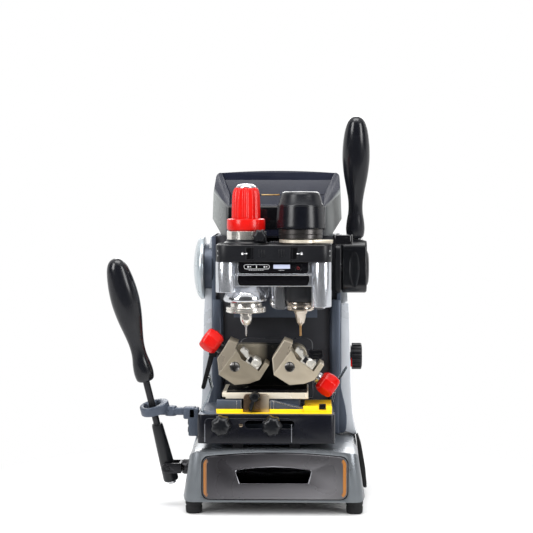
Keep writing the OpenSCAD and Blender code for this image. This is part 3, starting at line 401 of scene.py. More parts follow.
# A darker copy of the satin nickel: painted shade for the left clamp.
nickel_painted_shade = finish("satin_nickel_painted_shade", (0.33, 0.285, 0.215), 0.34, metallic=0.55, grain=2200,
                     bump=0.1, vary=0.05, wear_and_highlight=(0.75, 0.7, 0.62), wear_and_highlight_amount=0.9)
facet_painted_light = finish("facet_painted_light", (0.38, 0.33, 0.26), 0.3, metallic=0.6, grain=2200, bump=0.06, vary=0.05,
                     wear_and_highlight=(0.9, 0.86, 0.78), wear_and_highlight_amount=0.8)
champagne = finish("champagne_steel", (0.74, 0.675, 0.55), 0.3, metallic=0.3, grain=900, bump=0.02, vary=0.03)
red_plastic = finish("red_plastic", (0.52, 0.006, 0.004), 0.2, grain=700, bump=0.03, vary=0.05, specular=0.3)
bronze = finish("collet_bronze", (0.40, 0.31, 0.22), 0.2, metallic=1.0, bump=0.08, vary=0.08,
                brushed=(60.0, 60.0, 1200.0))
# The tilt-lock housing is dark bronze, painted lighter towards its right end as a painted highlight.
housing_bronze_with_painted_light = finish("housing_bronze_with_painted_light", (0.15, 0.10, 0.065), 0.3, metallic=0.7, grain=1800, bump=0.1,
                        fades=[((1, 0, 0), -17, -8, False, (0.55, 0.48, 0.38))])
gold = finish("gold_coating", (0.62, 0.38, 0.17), 0.25, metallic=1.0, grain=2000, bump=0.1,
              fades=[((0, 0, 1), 213, 217, False, (0.72, 0.68, 0.62))])
blackened = finish("blackened_steel", (0.02, 0.02, 0.023), 0.35, metallic=0.6, grain=1200,
                   bump=0.1, wear_and_highlight=(0.12, 0.12, 0.13), wear_and_highlight_amount=0.6)
wheel_silver = finish("wheel_silver", (0.44, 0.49, 0.52), 0.28, metallic=0.55, coat=0.25, grain=1800,
                      bump=0.1, vary=0.05)
yellow_film = finish("yellow_film", (0.93, 0.62, 0.01), 0.35, grain=500, bump=0.04, vary=0.04)
# The drawer's end strips turn from dark to amber towards their outer edges: a painted glow, with no emission.
amber = finish("amber_strip_painted_glow", (0.10, 0.075, 0.065), 0.35, grain=600, bump=0.02, specular=0.3,
               fades=[((1, 0, 0), 75.2, 80.2, True, (0.30, 0.115, 0.022))])
# The thin strip in the hood's tray is painted as an amber glow, brightest at its left end, with no emission.
amber_line_painted_glow = finish("amber_line_painted_glow", (0.72, 0.50, 0.22), 0.3, grain=600, bump=0.02,
                    fades=[((1, 0, 0), -16, 2, False, (0.45, 0.24, 0.07))])
# The drawer face lightens diagonally towards its lower right and darkens again at its right end: a painted
# sheen.
drawer_metal_with_painted_sheen = finish("drawer_metal_with_painted_sheen", (0.044, 0.042, 0.047), 0.3, metallic=0.6, grain=1600,
                      bump=0.03, vary=0.05, fades=[((0.6, 0, -0.8), -75, 25, False, (0.145, 0.141, 0.15)),
                             ((0.7, 0, -0.5), 25, 48, False, (0.085, 0.084, 0.088))])
# A light grey for the recess's rim, much lighter than the face: a painted highlight on the lip.
recess_rim_painted_highlight = finish("recess_rim_painted_highlight", (0.42, 0.42, 0.45), 0.3, metallic=0.5, grain=1200, bump=0.05)
print("finishes:", len(bpy.data.materials))

# %% [markdown]
# ## Modelling helpers
#
# Almost every part here starts as one of two shapes: an outline that is extruded,
# or a profile that is spun about an axis. Both start from Blender's circle, whose
# corners are put on the outline, because that gives one clean loop to extrude or
# spin. A helper does what the hand would do: deselect everything, add the circle,
# enter edit mode, run the operator, and recalculate the normals.

# %% Outline and spin helpers
AXES = {"X": (1, 2, 0), "Y": (0, 2, 1), "Z": (0, 1, 2)}


def deselect():
    bpy.ops.object.select_all(action="DESELECT")


def make_active(obj):
    deselect()
    obj.select_set(True)
    bpy.context.view_layer.objects.active = obj


def outward(obj):
    """Merges doubles and turns every face outwards."""
    make_active(obj)
    bpy.ops.object.mode_set(mode="EDIT")
    bpy.ops.mesh.select_all(action="SELECT")
    bpy.ops.mesh.remove_doubles(threshold=0.000004)
    bpy.ops.mesh.delete_loose()
    bpy.ops.mesh.select_all(action="SELECT")
    bpy.ops.mesh.normals_make_consistent(inside=False)
    bpy.ops.object.mode_set(mode="OBJECT")
    return obj


def loop(name, places, fill="NGON"):
    """A circle primitive with its corners put at the given places, in millimetres."""
    deselect()
    bpy.ops.mesh.primitive_circle_add(vertices=len(places), radius=MM, fill_type=fill)
    obj = bpy.context.object
    obj.name = obj.data.name = name
    for corner, place in zip(obj.data.vertices, places):
        corner.co = Vector(place) * MM
    return obj


def prism(name, outline, axis, start, end):
    """An outline in the plane across an axis, extruded along that axis."""
    across, up, along = AXES[axis]
    places = []
    for point in outline:
        place = [0.0, 0.0, 0.0]
        place[across], place[up], place[along] = point[0], point[1], start
        places.append(place)
    obj = loop(name, places)
    step = [0.0, 0.0, 0.0]
    step[along] = (end - start) * MM
    bpy.ops.object.mode_set(mode="EDIT")
    bpy.ops.mesh.select_all(action="SELECT")
    bpy.ops.mesh.extrude_region_move(TRANSFORM_OT_translate={"value": step})
    bpy.ops.object.mode_set(mode="OBJECT")
    return outward(obj)


def spun(name, profile, steps=64):
    """A closed profile of (radius, height) spun about the Z axis."""
    obj = loop(name, [(radius, 0, height) for radius, height in profile], "NOTHING")
    bpy.ops.object.mode_set(mode="EDIT")
    bpy.ops.mesh.select_all(action="SELECT")
    bpy.ops.mesh.spin(steps=steps, angle=TURN, center=(0, 0, 0), axis=(0, 0, 1))
    bpy.ops.object.mode_set(mode="OBJECT")
    return outward(obj)


def put(obj, place=(0, 0, 0), turn=(0, 0, 0)):
    """Turns a piece about the origin, moves it, and applies both to its mesh."""
    make_active(obj)
    obj.rotation_euler = [math.radians(angle) for angle in turn]
    obj.location = Vector(place) * MM
    bpy.ops.object.transform_apply(location=True, rotation=True, scale=True)
    return obj


def block(name, low, high):
    """A cube primitive between two corners."""
    deselect()
    low, high = Vector(low) * MM, Vector(high) * MM
    bpy.ops.mesh.primitive_cube_add(size=1, location=(low + high) / 2, scale=high - low)
    obj = bpy.context.object
    obj.name = obj.data.name = name
    bpy.ops.object.transform_apply(location=True, rotation=True, scale=True)
    return obj


def rod(name, axis, start, end, place, radius, corners=48):
    """A straight pin along an axis; place is the pair of its other coordinates."""
    outline = [(place[0] + radius * math.cos(TURN * i / corners),
                place[1] + radius * math.sin(TURN * i / corners)) for i in range(corners)]
    return prism(name, outline, axis, start, end)


print("helpers ready")

# %% [markdown]
# Sharp computer edges give a model away, because every real edge is broken by a
# file, a mould or a polish. Each solid gets a real bevel before it is joined to
# its neighbours, and holes are cut with the Boolean modifier before the bevel, so
# that their rims are rounded too.

# %% Bevel, cut and join helpers
def soften(obj, width=0.5, segments=2, limit=32):
    make_active(obj)
    bevel = obj.modifiers.new("soft edges", "BEVEL")
    bevel.width = width * MM
    bevel.segments = segments
    bevel.limit_method = "ANGLE"
    bevel.angle_limit = math.radians(limit)
    bpy.ops.object.modifier_apply(modifier=bevel.name)
    bpy.ops.object.shade_smooth_by_angle(angle=math.radians(limit + 6))
    return obj


def smooth(obj, limit=38):
    make_active(obj)
    bpy.ops.object.shade_smooth_by_angle(angle=math.radians(limit))
    return obj


def soft_block(name, low, high, width=0.5, segments=2):
    return soften(block(name, low, high), width, segments)


def soft_prism(name, outline, axis, start, end, width=0.5, segments=2, limit=32):
    return soften(prism(name, outline, axis, start, end), width, segments, limit)


def turned(name, profile, place=(0, 0, 0), turn=(0, 0, 0), steps=96, limit=38):
    """A spun piece, put in its place and shaded smooth."""
    return smooth(put(spun(name, profile, steps), place, turn), limit)


def boolean(obj, other, operation):
    make_active(obj)
    change = obj.modifiers.new("boolean", "BOOLEAN")
    change.operation = operation
    change.solver = "EXACT"
    change.object = other
    bpy.ops.object.modifier_apply(modifier=change.name)
    bpy.data.objects.remove(other)
    bpy.ops.object.mode_set(mode="EDIT")
    bpy.ops.mesh.select_all(action="SELECT")
    bpy.ops.mesh.remove_doubles(threshold=0.00002)
    bpy.ops.mesh.dissolve_limited(angle_limit=math.radians(0.5))
    bpy.ops.object.mode_set(mode="OBJECT")
    return obj


def carve(obj, *cutters):
    for cutter in cutters:
        boolean(obj, cutter, "DIFFERENCE")
    return obj


def join(name, *objects):
    make_active(objects[0])
    for other in objects[1:]:
        other.select_set(True)
    if len(objects) > 1:
        bpy.ops.object.join()
    obj = bpy.context.object
    obj.name = obj.data.name = name
    return obj


def paint(obj, material):
    obj.data.materials.clear()
    obj.data.materials.append(material)
    return obj


def fit(obj, body, material=None, replaces=()):
    """Paints a finished piece, puts it on its body and says what it stands for."""
    if material:
        paint(obj, material)
    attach(obj, body)
    if replaces:
        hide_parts(*replaces)
    print(f"{obj.name}: {len(obj.data.polygons)} faces on {body}")
    return obj


def arc(x, y, radius, start, end, count=6):
    """Points of an arc, with its angles in degrees."""
    return [(x + radius * math.cos(math.radians(start + (end - start) * i / count)),
             y + radius * math.sin(math.radians(start + (end - start) * i / count)))
            for i in range(count + 1)]


def rounded(x0, y0, x1, y1, radius, count=6):
    return (arc(x1 - radius, y1 - radius, radius, 0, 90, count)
            + arc(x0 + radius, y1 - radius, radius, 90, 180, count)
            + arc(x0 + radius, y0 + radius, radius, 180, 270, count)
            + arc(x1 - radius, y0 + radius, radius, 270, 360, count))


def lobed(radius, depth, lobes, count=128):
    """A circle whose radius waves inwards by a depth."""
    places = []
    for i in range(count):
        reach = radius - depth / 2 + depth / 2 * math.cos(lobes * TURN * i / count)
        places.append((reach * math.cos(TURN * i / count), reach * math.sin(TURN * i / count)))
    return places


print("bevel, boolean and outline helpers ready")

# %% [markdown]
# ## Base
#
# The base is one casting with sloping sides, an arched top edge and a mouth for
# the drawer. A box with bevels can't give the arch, so its front outline is drawn
# as arcs and a parabola, and extruded from front to back. The mouth and the bays
# are cut afterwards, as a foundry would core them.

# %% Base shell
BASE_HALF, BASE_TOP_HALF, BASE_Y = 105, 98, 120
BASE_Z0, BASE_Z1, BASE_ARCH = 16, 73, 3.5
STICK_PIVOT = (-127.3, -60.4, 47)


def base_outline():
    crown = [((1 - i / 10) * (BASE_TOP_HALF - 8), BASE_Z1 + BASE_ARCH * (1 - (1 - i / 10) ** 4))
             for i in range(21)]
    return (arc(BASE_HALF - 5, BASE_Z0 + 5, 5, -90, 0, 5)
            + arc(BASE_TOP_HALF - 7, BASE_Z1 - 7, 7, 0, 75, 7) + crown
            + arc(7 - BASE_TOP_HALF, BASE_Z1 - 7, 7, 105, 180, 7)
            + arc(5 - BASE_HALF, BASE_Z0 + 5, 5, 180, 270, 5))


def drawer_outline(grow=0.0):
    x0, x1, z0, z1, radius, arch = -82.5, 85, 19.8, 73.3, 9, 4.2
    middle, half = (x0 + x1) / 2, (x1 - x0) / 2 - radius
    crown = [(middle + (1 - i / 8) * half, z1 + grow - arch * (1 - i / 8) ** 2) for i in range(1, 16)]
    return (arc(x1 - radius + grow, z0 + radius - grow, radius, -90, 0)
            + arc(x1 - radius + grow, z1 - arch - radius + grow, radius, 0, 80) + crown
            + arc(x0 + radius - grow, z1 - arch - radius + grow, radius, 100, 180)
            + arc(x0 + radius - grow, z0 + radius - grow, radius, 180, 270))


def corner_cutter(side_x, side_y):
    """What is taken off an upright corner of the base, leaning as its side does."""
    radius = 14
    outline = [(3, 3), (3, -radius)] + arc(-radius, -radius, radius, 0, 90, 14) + [(-radius, 3)]
    cutter = prism("corner", [(side_x * x, side_y * y) for x, y in outline], "Z", -6, 70)
    lean = math.degrees(math.atan((BASE_HALF - BASE_TOP_HALF) / (BASE_Z1 - BASE_Z0)))
    return put(cutter, (side_x * BASE_HALF, side_y * BASE_Y, BASE_Z0), (0, -side_x * lean, 0))


def build_base():
    shell = prism("base_shell", base_outline(), "Y", -BASE_Y, BASE_Y)
    carve(shell, *[corner_cutter(x, y) for x in (-1, 1) for y in (-1, 1)],
          prism("mouth", drawer_outline(1.0), "Y", -BASE_Y - 1, -BASE_Y + 10),
          block("drawer_bay", (-77.5, -BASE_Y - 2, 20), (80, 11, 66)),
          block("battery_room", (-88, 17, 12), (88, 114, 67)),
          block("plate_seat", (-99, -115, 12), (99, 115, 18.5)),
          rod("pin_seat", "X", -108, -99.99, STICK_PIVOT[1:], 9.02))
    soften(shell, 1.2, 3, 28)
    return fit(shell, "base", silver_paint_with_painted_shade, ["base_casting"])


build_base()

# %% [markdown]
# Rubber feet are turned shapes with a groove where they are pressed into the
# casting. One is spun, and four copies of it with their own meshes go to the
# corners. They are joined into one piece because the frame holds them in one node.

# %% Feet and the side buffer
def copied(obj, name):
    """A copy of a piece with a mesh of its own."""
    twin = obj.copy()
    twin.data = obj.data.copy()
    twin.name = name
    bpy.context.scene.collection.objects.link(twin)
    return twin


def build_feet():
    profile = [(3.4, 0), (8.2, 0), (9.2, 0.8), (9.6, 3), (9.8, 8), (9.2, 9), (9.2, 10), (9.9, 11),
               (10, 16), (3.4, 16)]
    foot = turned("foot", profile, steps=48)
    feet = []
    for x in (-93.5, 93.5):
        for y in (-100, 100):
            feet.append(put(copied(foot, "foot"), (x, y, 0)))
    bpy.data.objects.remove(foot)
    return fit(join("rubber_foot_set", *feet), "base", rubber, ["rubber_feet"])


def build_buffer():
    """A pad that follows the slope of the base and covers the panel's foot."""
    slope = [(99.6, 75.6), (100.6, 74.6), (104.1, 63.7), (106.6, 50), (108.6, 38), (110.3, 20), (110.6, 14.6),
             (109.8, 13.6), (106.9, 13.6), (105.2, 16.5), (98.6, 73)]
    pad = soften(prism("side_buffer", slope, "Y", -14, 21.8), 1.1, 3)
    return fit(join("side_buffer", pad), "base", rubber)


build_feet()
build_buffer()

# %% [markdown]
# ## Drawer
#
# The drawer's face is a dark metal plate with a hand recess, with a painted sheen
# that lightens it towards the lower right. The recess has a raised rim painted light
# as a highlight, and its floor is covered by a black sheet painted as shade. A strip
# painted as an amber glow follows each rounded end. The face carries no lettering.

# %% Drawer face
HAND_RECESS = ([(-39.1, 38.6), (39.4, 38.8)] + arc(41.0, 52.4, 1.8, -10, 70, 3)
               + [(20, 56.8), (0, 57.5), (-20, 56.8)] + arc(-41.4, 52.3, 1.8, 110, 190, 3))


def grown(outline, amount):
    """An outline moved outwards by an amount, corner by corner."""
    middle = Vector((sum(p[0] for p in outline), sum(p[1] for p in outline))) / len(outline)
    return [tuple(Vector(p) + (Vector(p) - middle).normalized() * amount) for p in outline]


def build_drawer_face():
    face = prism("drawer_face", drawer_outline(), "Y", -122, -112)
    carve(face, prism("hand", HAND_RECESS, "Y", -124, -115))
    soften(face, 0.9, 3, 28)
    paint(face, drawer_metal_with_painted_sheen)
    rim = prism("rim", grown(HAND_RECESS, 1.3), "Y", -122.7, -121.5)
    carve(rim, prism("hand", HAND_RECESS, "Y", -124, -120))
    paint(soften(rim, 0.4, 2, 28), recess_rim_painted_highlight)
    return fit(join("drawer_face", face, rim), "drawer", None, ["drawer_front"])


# A black sheet over the recess floor is painted shade, so the recess looks deep.
def build_recess_painted_shade():
    back = prism("recess_painted_shade", grown(HAND_RECESS, 0.6), "Y", -115.6, -115.02)
    return fit(soften(back, 0.1, 1), "drawer", painted_shade_black)


def build_amber_strips():
    strips = []
    for side in (-1, 1):
        centre, outer, inner = (76, 7.4, 3.6) if side > 0 else (-73.5, 7.4, 3.6)
        low, flat, high = (-62, 0, 62) if side > 0 else (242, 180, 118)
        outline = (arc(centre, 28.8, outer, low, flat, 7) + arc(centre, 60, outer, flat, high, 7)
                   + arc(centre, 60, inner, high, flat, 7) + arc(centre, 28.8, inner, flat, low, 7))
        strips.append(soften(prism("strip", outline, "Y", -122.4, -121), 0.3, 2))
    return fit(join("drawer_light_strips", *strips), "drawer", amber)


build_drawer_face()
build_recess_painted_shade()
build_amber_strips()

# %% [markdown]
# ## Column
#
# The column is a casting with an open front: two ribs with sloping inner faces
# stand beside a recessed wall, which has a raised panel whose edge is a bead painted
# light as a highlight. Each rib is an outline seen from above. Its upper end is cut
# round from the front, as the real one flows into the head.

# %% Column casting
WALL_Y, COLUMN_TOP = 20, 318
SHAFT_Y, SHAFT_Z = 40, 278
DEPTH_KNOB = (45, 168)


def build_rib(side):
    """One of the two front ribs, with its foot, side wall, flange and frame."""
    plan = [(65, 21), (66, 16), (68, 13), (71, 12), (76, 12), (78.4, 13.2), (79, 16), (79, 21)]
    rib = prism("rib", [(side * x, y) for x, y in plan], "Z", 76, 240)
    top = [(60, 241)] + [(65 + 8 * (1 - math.cos(t)), 233 + 8 * math.sin(t))
                         for t in (0.0, 0.3, 0.6, 0.9, 1.2, 1.57)]
    carve(rib, prism("corner", [(side * x, z) for x, z in top], "Y", 10, 23))
    foot = [(72, 76.4), (82, 76.4), (84.6, 77.5), (86, 82), (86.6, 88), (86.4, 98), (84.6, 110),
            (81.6, 122), (79, 134), (77, 144), (72, 144)]
    pieces = [soften(rib, 1.2, 3, 28),
              soft_prism("foot", [(side * x, z) for x, z in foot], "Y", 12.6, 21.5, 1.6, 3, 20)]
    for name, near, far, low, high in (("side", 74, 79, (14, 76), (112, COLUMN_TOP)),
                                       ("flange", 60, 78, (24, 76.5), (108, 82)),
                                       ("frame", 64, 78, (24, 310), (108, COLUMN_TOP))):
        low_x, high_x = sorted((side * near, side * far))
        pieces.append(soft_block(name, (low_x, *low), (high_x, *high)))
    return pieces


def build_column():
    wall = block("wall", (-78, WALL_Y, 70), (78, WALL_Y + 4, COLUMN_TOP))
    carve(wall, block("rack_window", (-12, 15, 240), (12, 26, 316)))
    outline = [(-45.5, 118), (45.5, 118)] + arc(37.5, 185, 8, 0, 90, 8) + arc(-37.5, 185, 8, 90, 180, 8)
    panel = soft_prism("panel", outline, "Y", WALL_Y - 1.5, WALL_Y + 0.5, 0.9, 3, 28)
    # The bead round the raised panel is painted lighter than the wall: a painted highlight on the panel's
    # edge.
    bead = prism("bead", grown(outline, -1.1), "Y", WALL_Y - 1.9, WALL_Y - 1)
    carve(bead, prism("inside", grown(outline, -1.9), "Y", WALL_Y - 3, WALL_Y))
    parts = [paint(soften(wall, 0.6), recess_paint), paint(panel, recess_paint),
             paint(soften(bead, 0.2), bead_painted_highlight)]
    slate = []
    for side in (-1, 1):
        slate += build_rib(side)
    slate.append(turned("boss", [(0, 0), (29, 0), (30, 1), (30, 10), (8, 10), (8, 22.4), (0, 22.4)],
                        (-78, SHAFT_Y, SHAFT_Z), (0, -90, 0), 64))
    slate.append(soft_block("web", (-26, 23, 262), (-18, 60, 294)))
    bearing = paint(soft_prism("bearing", rounded(3, 249, 30, 308, 7), "X", 71.5, 79, 1.2, 3), charcoal)
    stud = paint(soften(rod("stud", "X", 78, 92, DEPTH_KNOB, 5), 0.3), blackened)
    parts += [paint(join("slate", *slate), slate_paint), bearing, stud]
    return fit(join("column_body", *parts), "base", None, ["column_casting"])


build_column()

# %% [markdown]
# ## Hood
#
# The hood closes the top and holds a tray for key blanks. It is drawn three times:
# its side as arcs and a slope, its front with an arched rim, and its plan with the
# front corners cut back. The Boolean keeps only what lies inside all three, which
# gives the oblique cheeks that a bevelled box would miss. The tray's walls lean
# outwards, and a glossy visor and a thin strip painted as an amber glow are set into
# it. The cheeks are painted lighter towards their outer edges as a painted reflection.

# %% Hood
HOOD_HALF, HOOD_LIP = 78, 80.4


def hood_front(inset):
    """The hood's front outline, drawn in by an amount."""
    corner = arc(HOOD_HALF - 5.4, 389.8 - 2 * inset, 5.4 - inset, 0, 80, 5)
    rim = [((1 - i / 10) * (HOOD_HALF - 7), 397.6 - 3 * inset - 2.6 * (1 - i / 10) ** 2) for i in range(21)]
    right = [(68.5 - inset, 318), (69.5 - inset, 322), (80.2 - inset, 338)] + corner
    return right + rim + [(-x, z) for x, z in reversed(right)]


def hood_plan(inset):
    cheek = [(HOOD_LIP - inset, 121), (HOOD_LIP - inset, 55 + inset / 3)]
    round_right = arc(57 - inset * 0.6, 20, 6 - inset * 0.4, 336 - 360, 270 - 360, 8)
    right = cheek + round_right
    return right + [(-x, y) for x, y in reversed(right)]


def build_hood():
    side = [(14, 318.4), (14, 350)] + arc(18, 351, 4, 180, 118, 5) + [(104, 394.5)] \
        + arc(112, 393.5, 5.8, 110, 0, 6) + [(117, 318.4)]
    shell = prism("hood_shell", side, "X", -82, 82)
    boolean(shell, prism("front", hood_front(0), "Y", 5, 121), "INTERSECT")
    boolean(shell, prism("plan", hood_plan(0), "Z", 318, 402), "INTERSECT")
    tray = prism("tray", [(20, 341.5), (60, 344), (103, 386), (108.5, 412), (20, 412)], "X", -90, 90)
    wall = [(57, 340), (58.5, 368), (71, 394), (79, 414)]
    walls = wall + [(-x, z) for x, z in reversed(wall)]
    boolean(tray, prism("walls", walls, "Y", 10, 120), "INTERSECT")
    under_side = [(18, 300), (18, 334), (64, 338), (108, 372), (112, 372), (112, 300)]
    under = prism("under", under_side, "X", -76, 76)
    inner_front = [(x, z if z > 320 else 299) for x, z in hood_front(4)]
    boolean(under, prism("inner", inner_front, "Y", 10, 121), "INTERSECT")
    boolean(under, prism("inner", hood_plan(4), "Z", 299, 380), "INTERSECT")
    carve(shell, tray, under)
    paint(soften(shell, 1.1, 3, 24), hood_plastic_with_painted_light)
    visor_side = [(13.4, 326), (13.4, 350), (14.6, 353.6), (16.5, 355), (16.5, 326)]
    visor = paint(soft_prism("visor", visor_side, "X", -59, 59), gloss_black)
    seam = paint(soft_block("seam", (-58, 83.4, 366.6), (58, 84.8, 367.8), 0.2), gloss_black)
    # A thin strip painted as an amber glow.
    strip = paint(soft_block("strip", (-20.3, 82.8, 366.9), (2.3, 84.6, 368.2), 0.2), amber_line_painted_glow)
    return fit(join("hood_shell", shell, visor, seam, strip), "base", None, ["hood"])


build_hood()

# %% [markdown]
# ## Side panels and rear cover
#
# Pearl panels clothe the column. Seen from the front, each is a narrow strip that
# flares towards the base, so its outline holds the curve and the extrusion gives
# the depth. The left panel has a round opening for the lock wheel's boss.

# %% Side panels
PANEL_EDGE = [(110, 17), (109.2, 24), (107.5, 38), (105.2, 50), (102.5, 60), (99.6, 70), (97, 80),
              (95, 90), (93.5, 100), (92, 117), (91.2, 140), (90, 193), (89.2, 220), (88, 241),
              (86.4, 262), (84.6, 278), (82.8, 300), (81, 317)]


def build_side_panel(name, node, side, hole_radius):
    outline = [(side * x, z) for x, z in PANEL_EDGE + [(79.3, 317), (79.3, 78.5), (98.3, 73), (105.3, 17)]]
    panel = prism(name, outline, "Y", 22, 118)
    carve(panel, rod("opening", "X", min(60 * side, 125 * side), max(60 * side, 125 * side),
                     (SHAFT_Y, SHAFT_Z), hole_radius, 72))
    if side > 0:
        carve(panel, rod("knob_hole", "X", 60, 125, DEPTH_KNOB, 5.6))
    carve(panel, prism("corner", [(side * 91, 119), (side * 113, 119), (side * 113, 103)], "Z", 0, 320))
    soften(panel, 1.6, 3, 26)
    trim = prism("trim", [(side * (x + 0.35), z) for x, z in PANEL_EDGE[:4]]
                 + [(side * (x - 1.2), z) for x, z in reversed(PANEL_EDGE[:4])], "Y", 24, 116)
    trim = paint(soften(trim, 0.3), charcoal)
    paint(panel, pearl_paint)
    return fit(join(name, panel, trim), "base", None, [node])


build_side_panel("left_panel_shell", "left_side_panel", -1, 30.4)
build_side_panel("right_panel_shell", "right_side_panel", 1, 46)

# %% [markdown]
# The rear cover is a flat moulding with eight cooling slots between two raised
# borders. The slots go right through, so the bevel can round both their rims.

# %% Rear cover
def build_rear_cover():
    cover = block("rear_panel", (-79, 112.1, 77), (79, 115.5, 317.5))
    slots = [block("slot", (-40, 110, 215 + 10 * i), (40, 118, 219 + 10 * i)) for i in range(8)]
    holes = [rod("hole", "Y", 110, 118, (x, z), 2.1, 24) for x in (-72, 72) for z in (90, 300)]
    carve(cover, *slots, *holes, rod("inlet_hole", "Y", 110, 118, (-50, 98), 6.05))
    soften(cover, 0.5)
    border = prism("border", rounded(-50, 207, 50, 297, 6), "Y", 115.2, 116.6)
    carve(border, prism("inside", rounded(-46, 211, 46, 293, 4), "Y", 114, 118))
    lower = prism("lower", rounded(-62, 108, 62, 196, 6), "Y", 115.2, 116.4)
    carve(lower, prism("inside", rounded(-60, 110, 60, 194, 5), "Y", 114, 118))
    return fit(join("rear_panel", cover, soften(border, 0.4), soften(lower, 0.4)),
               "base", charcoal, ["rear_cover"])


build_rear_cover()

# %% [markdown]
# ## Head casting
#
# The head is a polished casting: two round pillars with a flat between them, and
# below it the mouths of the tracer and of the spindle. The pillars' plan is drawn
# with arcs, so that the chrome shows the long upright reflections of a turned
# surface. The tracer's mouth is spun, the spindle's is cut from two outlines, and both are opened from below.

# %% Head casting
SPINDLE_X, TRACER_X, SPINDLE_Y = 30, -34.5, -45
SPINDLE, TRACER = (SPINDLE_X, SPINDLE_Y, 0), (TRACER_X, SPINDLE_Y, 0)


def build_head_casting():
    left = prism("pillar", arc(-57.5, -66, 12, 150, 360, 16) + [(-45.5, -4), (-69.5, -4), (-69.5, -60)],
                 "Z", 255, 291)
    right = prism("pillar", arc(54.5, -66, 12, 180, 390, 16) + [(66.5, -4), (42.5, -4)], "Z", 238, 291)
    flat = block("flat", (-50, -70, 262), (48, -4, 290.8))
    bell = [(0, 262.1), (0, 252), (20.5, 252), (20.5, 242.4), (21.5, 241.9), (23.6, 242.1), (25.2, 243.3),
            (26.1, 245.2), (26, 247), (25.2, 249.6), (23.6, 252.6), (21.4, 255.8), (19, 259), (18, 262.1)]
    tracer_mouth = turned("mouth", bell, (TRACER_X - 1, SPINDLE_Y, 0))
    front = [(-9, 262)] + arc(5, 247, 14, 180, 270, 10) + arc(53, 246, 13, 270, 360, 10) + [(66, 262)]
    plan = [(-9, -4)] + arc(4, -33, 13, 180, 270, 12) + arc(53, -33, 13, 270, 360, 12) + [(66, -4)]
    lobe = prism("lobe", front, "Y", -46, -4)
    boolean(lobe, prism("plan", plan, "Z", 230, 264), "INTERSECT")
    carve(lobe, rod("mouth", "Z", 232, 250, (SPINDLE_X, SPINDLE_Y), 18.66, 72))
    back = block("back", (-60, -34, 246), (52, -4, 262.1))
    lip = prism("lip", rounded(-46, 275.2, 43, 277.4, 1), "Y", -76.5, -69)
    for solid, width in ((left, 0.8), (right, 0.8), (flat, 0.8), (back, 0.8), (lip, 0.5)):
        soften(solid, width, 3, 28)
    satin = paint(join("satin", left, right, flat, back, lip), chrome)
    bright = paint(join("bright", tracer_mouth, smooth(lobe, 45)), bell_chrome)
    return fit(join("head_body", satin, bright), "head", None, ["head_casting"])


def build_head_details():
    """Dark glass band, its bright frame, the spindle's black cup and the side screws."""
    outline = [(-43, 274.6), (40, 274.6)] + arc(35, 268, 5, 0, -90, 5) + arc(-38, 268, 5, -90, -180, 5)
    glass = paint(soft_prism("glass", outline, "Y", -71.6, -69.5, 0.4), gloss_black)
    frame_ring = prism("frame", grown(outline, 1.0), "Y", -71.2, -69.5)
    carve(frame_ring, prism("inside", outline, "Y", -73, -68))
    frame_ring = paint(soften(frame_ring, 0.2), chrome)
    cup = turned("cup", [(0, 262), (0, 246), (15.4, 246), (15.4, 243.2), (17.4, 243.2), (18.4, 244.6),
                         (19.4, 250), (20.2, 258), (20.8, 262)], SPINDLE, steps=72)
    screws = []
    for x in (-69.6, 66.6):
        outer = x + math.copysign(1.1, x)
        low, high = min(x, outer), max(x, outer)
        for z in (252, 282):
            screw = rod("screw", "X", low, high, (-40, z), 3.2, 24)
            carve(screw, rod("hex", "X", low - 0.6, high + 0.6, (-40, z), 1.5, 6))
            screws.append(soften(screw, 0.25))
    screws = paint(join("screws", *screws), blackened)
    return fit(join("head_trim", glass, frame_ring, paint(cup, charcoal), screws), "head")


bell_chrome = finish("bell_chrome", (0.64, 0.65, 0.68), 0.14, metallic=0.95, grain=60, bump=0.01, vary=0.02,
                     gloss_spread=0.02)
build_head_casting()
build_head_details()

# %% [markdown]
# ## Band, slider and control panel
#
# A dark band clasps the head. Small pale marks on it show which way the slider
# moves: a padlock shape and an arrow, which say it without words. The slider has
# two groups of three ridges for the thumb.

# %% Band and slider
BAND_Y = -80


def mark_on(name, outline, y, proud=0.12):
    """A thin mark that stands proud of a front face at y."""
    return prism(name, outline, "Y", y - proud, y)


def arrow_mark(x, z, y, direction):
    reach, neck = 2.2, x + direction * 0.4
    tail, tip = x - direction * reach, x + direction * reach
    outline = [(tail, z - 0.25), (neck, z - 0.25), (neck, z - 0.9), (tip, z), (neck, z + 0.9),
               (neck, z + 0.25), (tail, z + 0.25)]
    return mark_on("arrow", outline, y)


def lock_mark(x, z, y, is_open):
    lift = 0.5 if is_open else 0.0
    shackle = arc(x, z + 0.3 + lift, 0.95, 0, 180, 6) + arc(x, z + 0.3 + lift, 0.6, 180, 0, 6)
    return [mark_on("mark", rounded(x - 1.1, z - 1.5, x + 1.1, z + 0.2, 0.3, 2), y),
            mark_on("mark", shackle, y)]


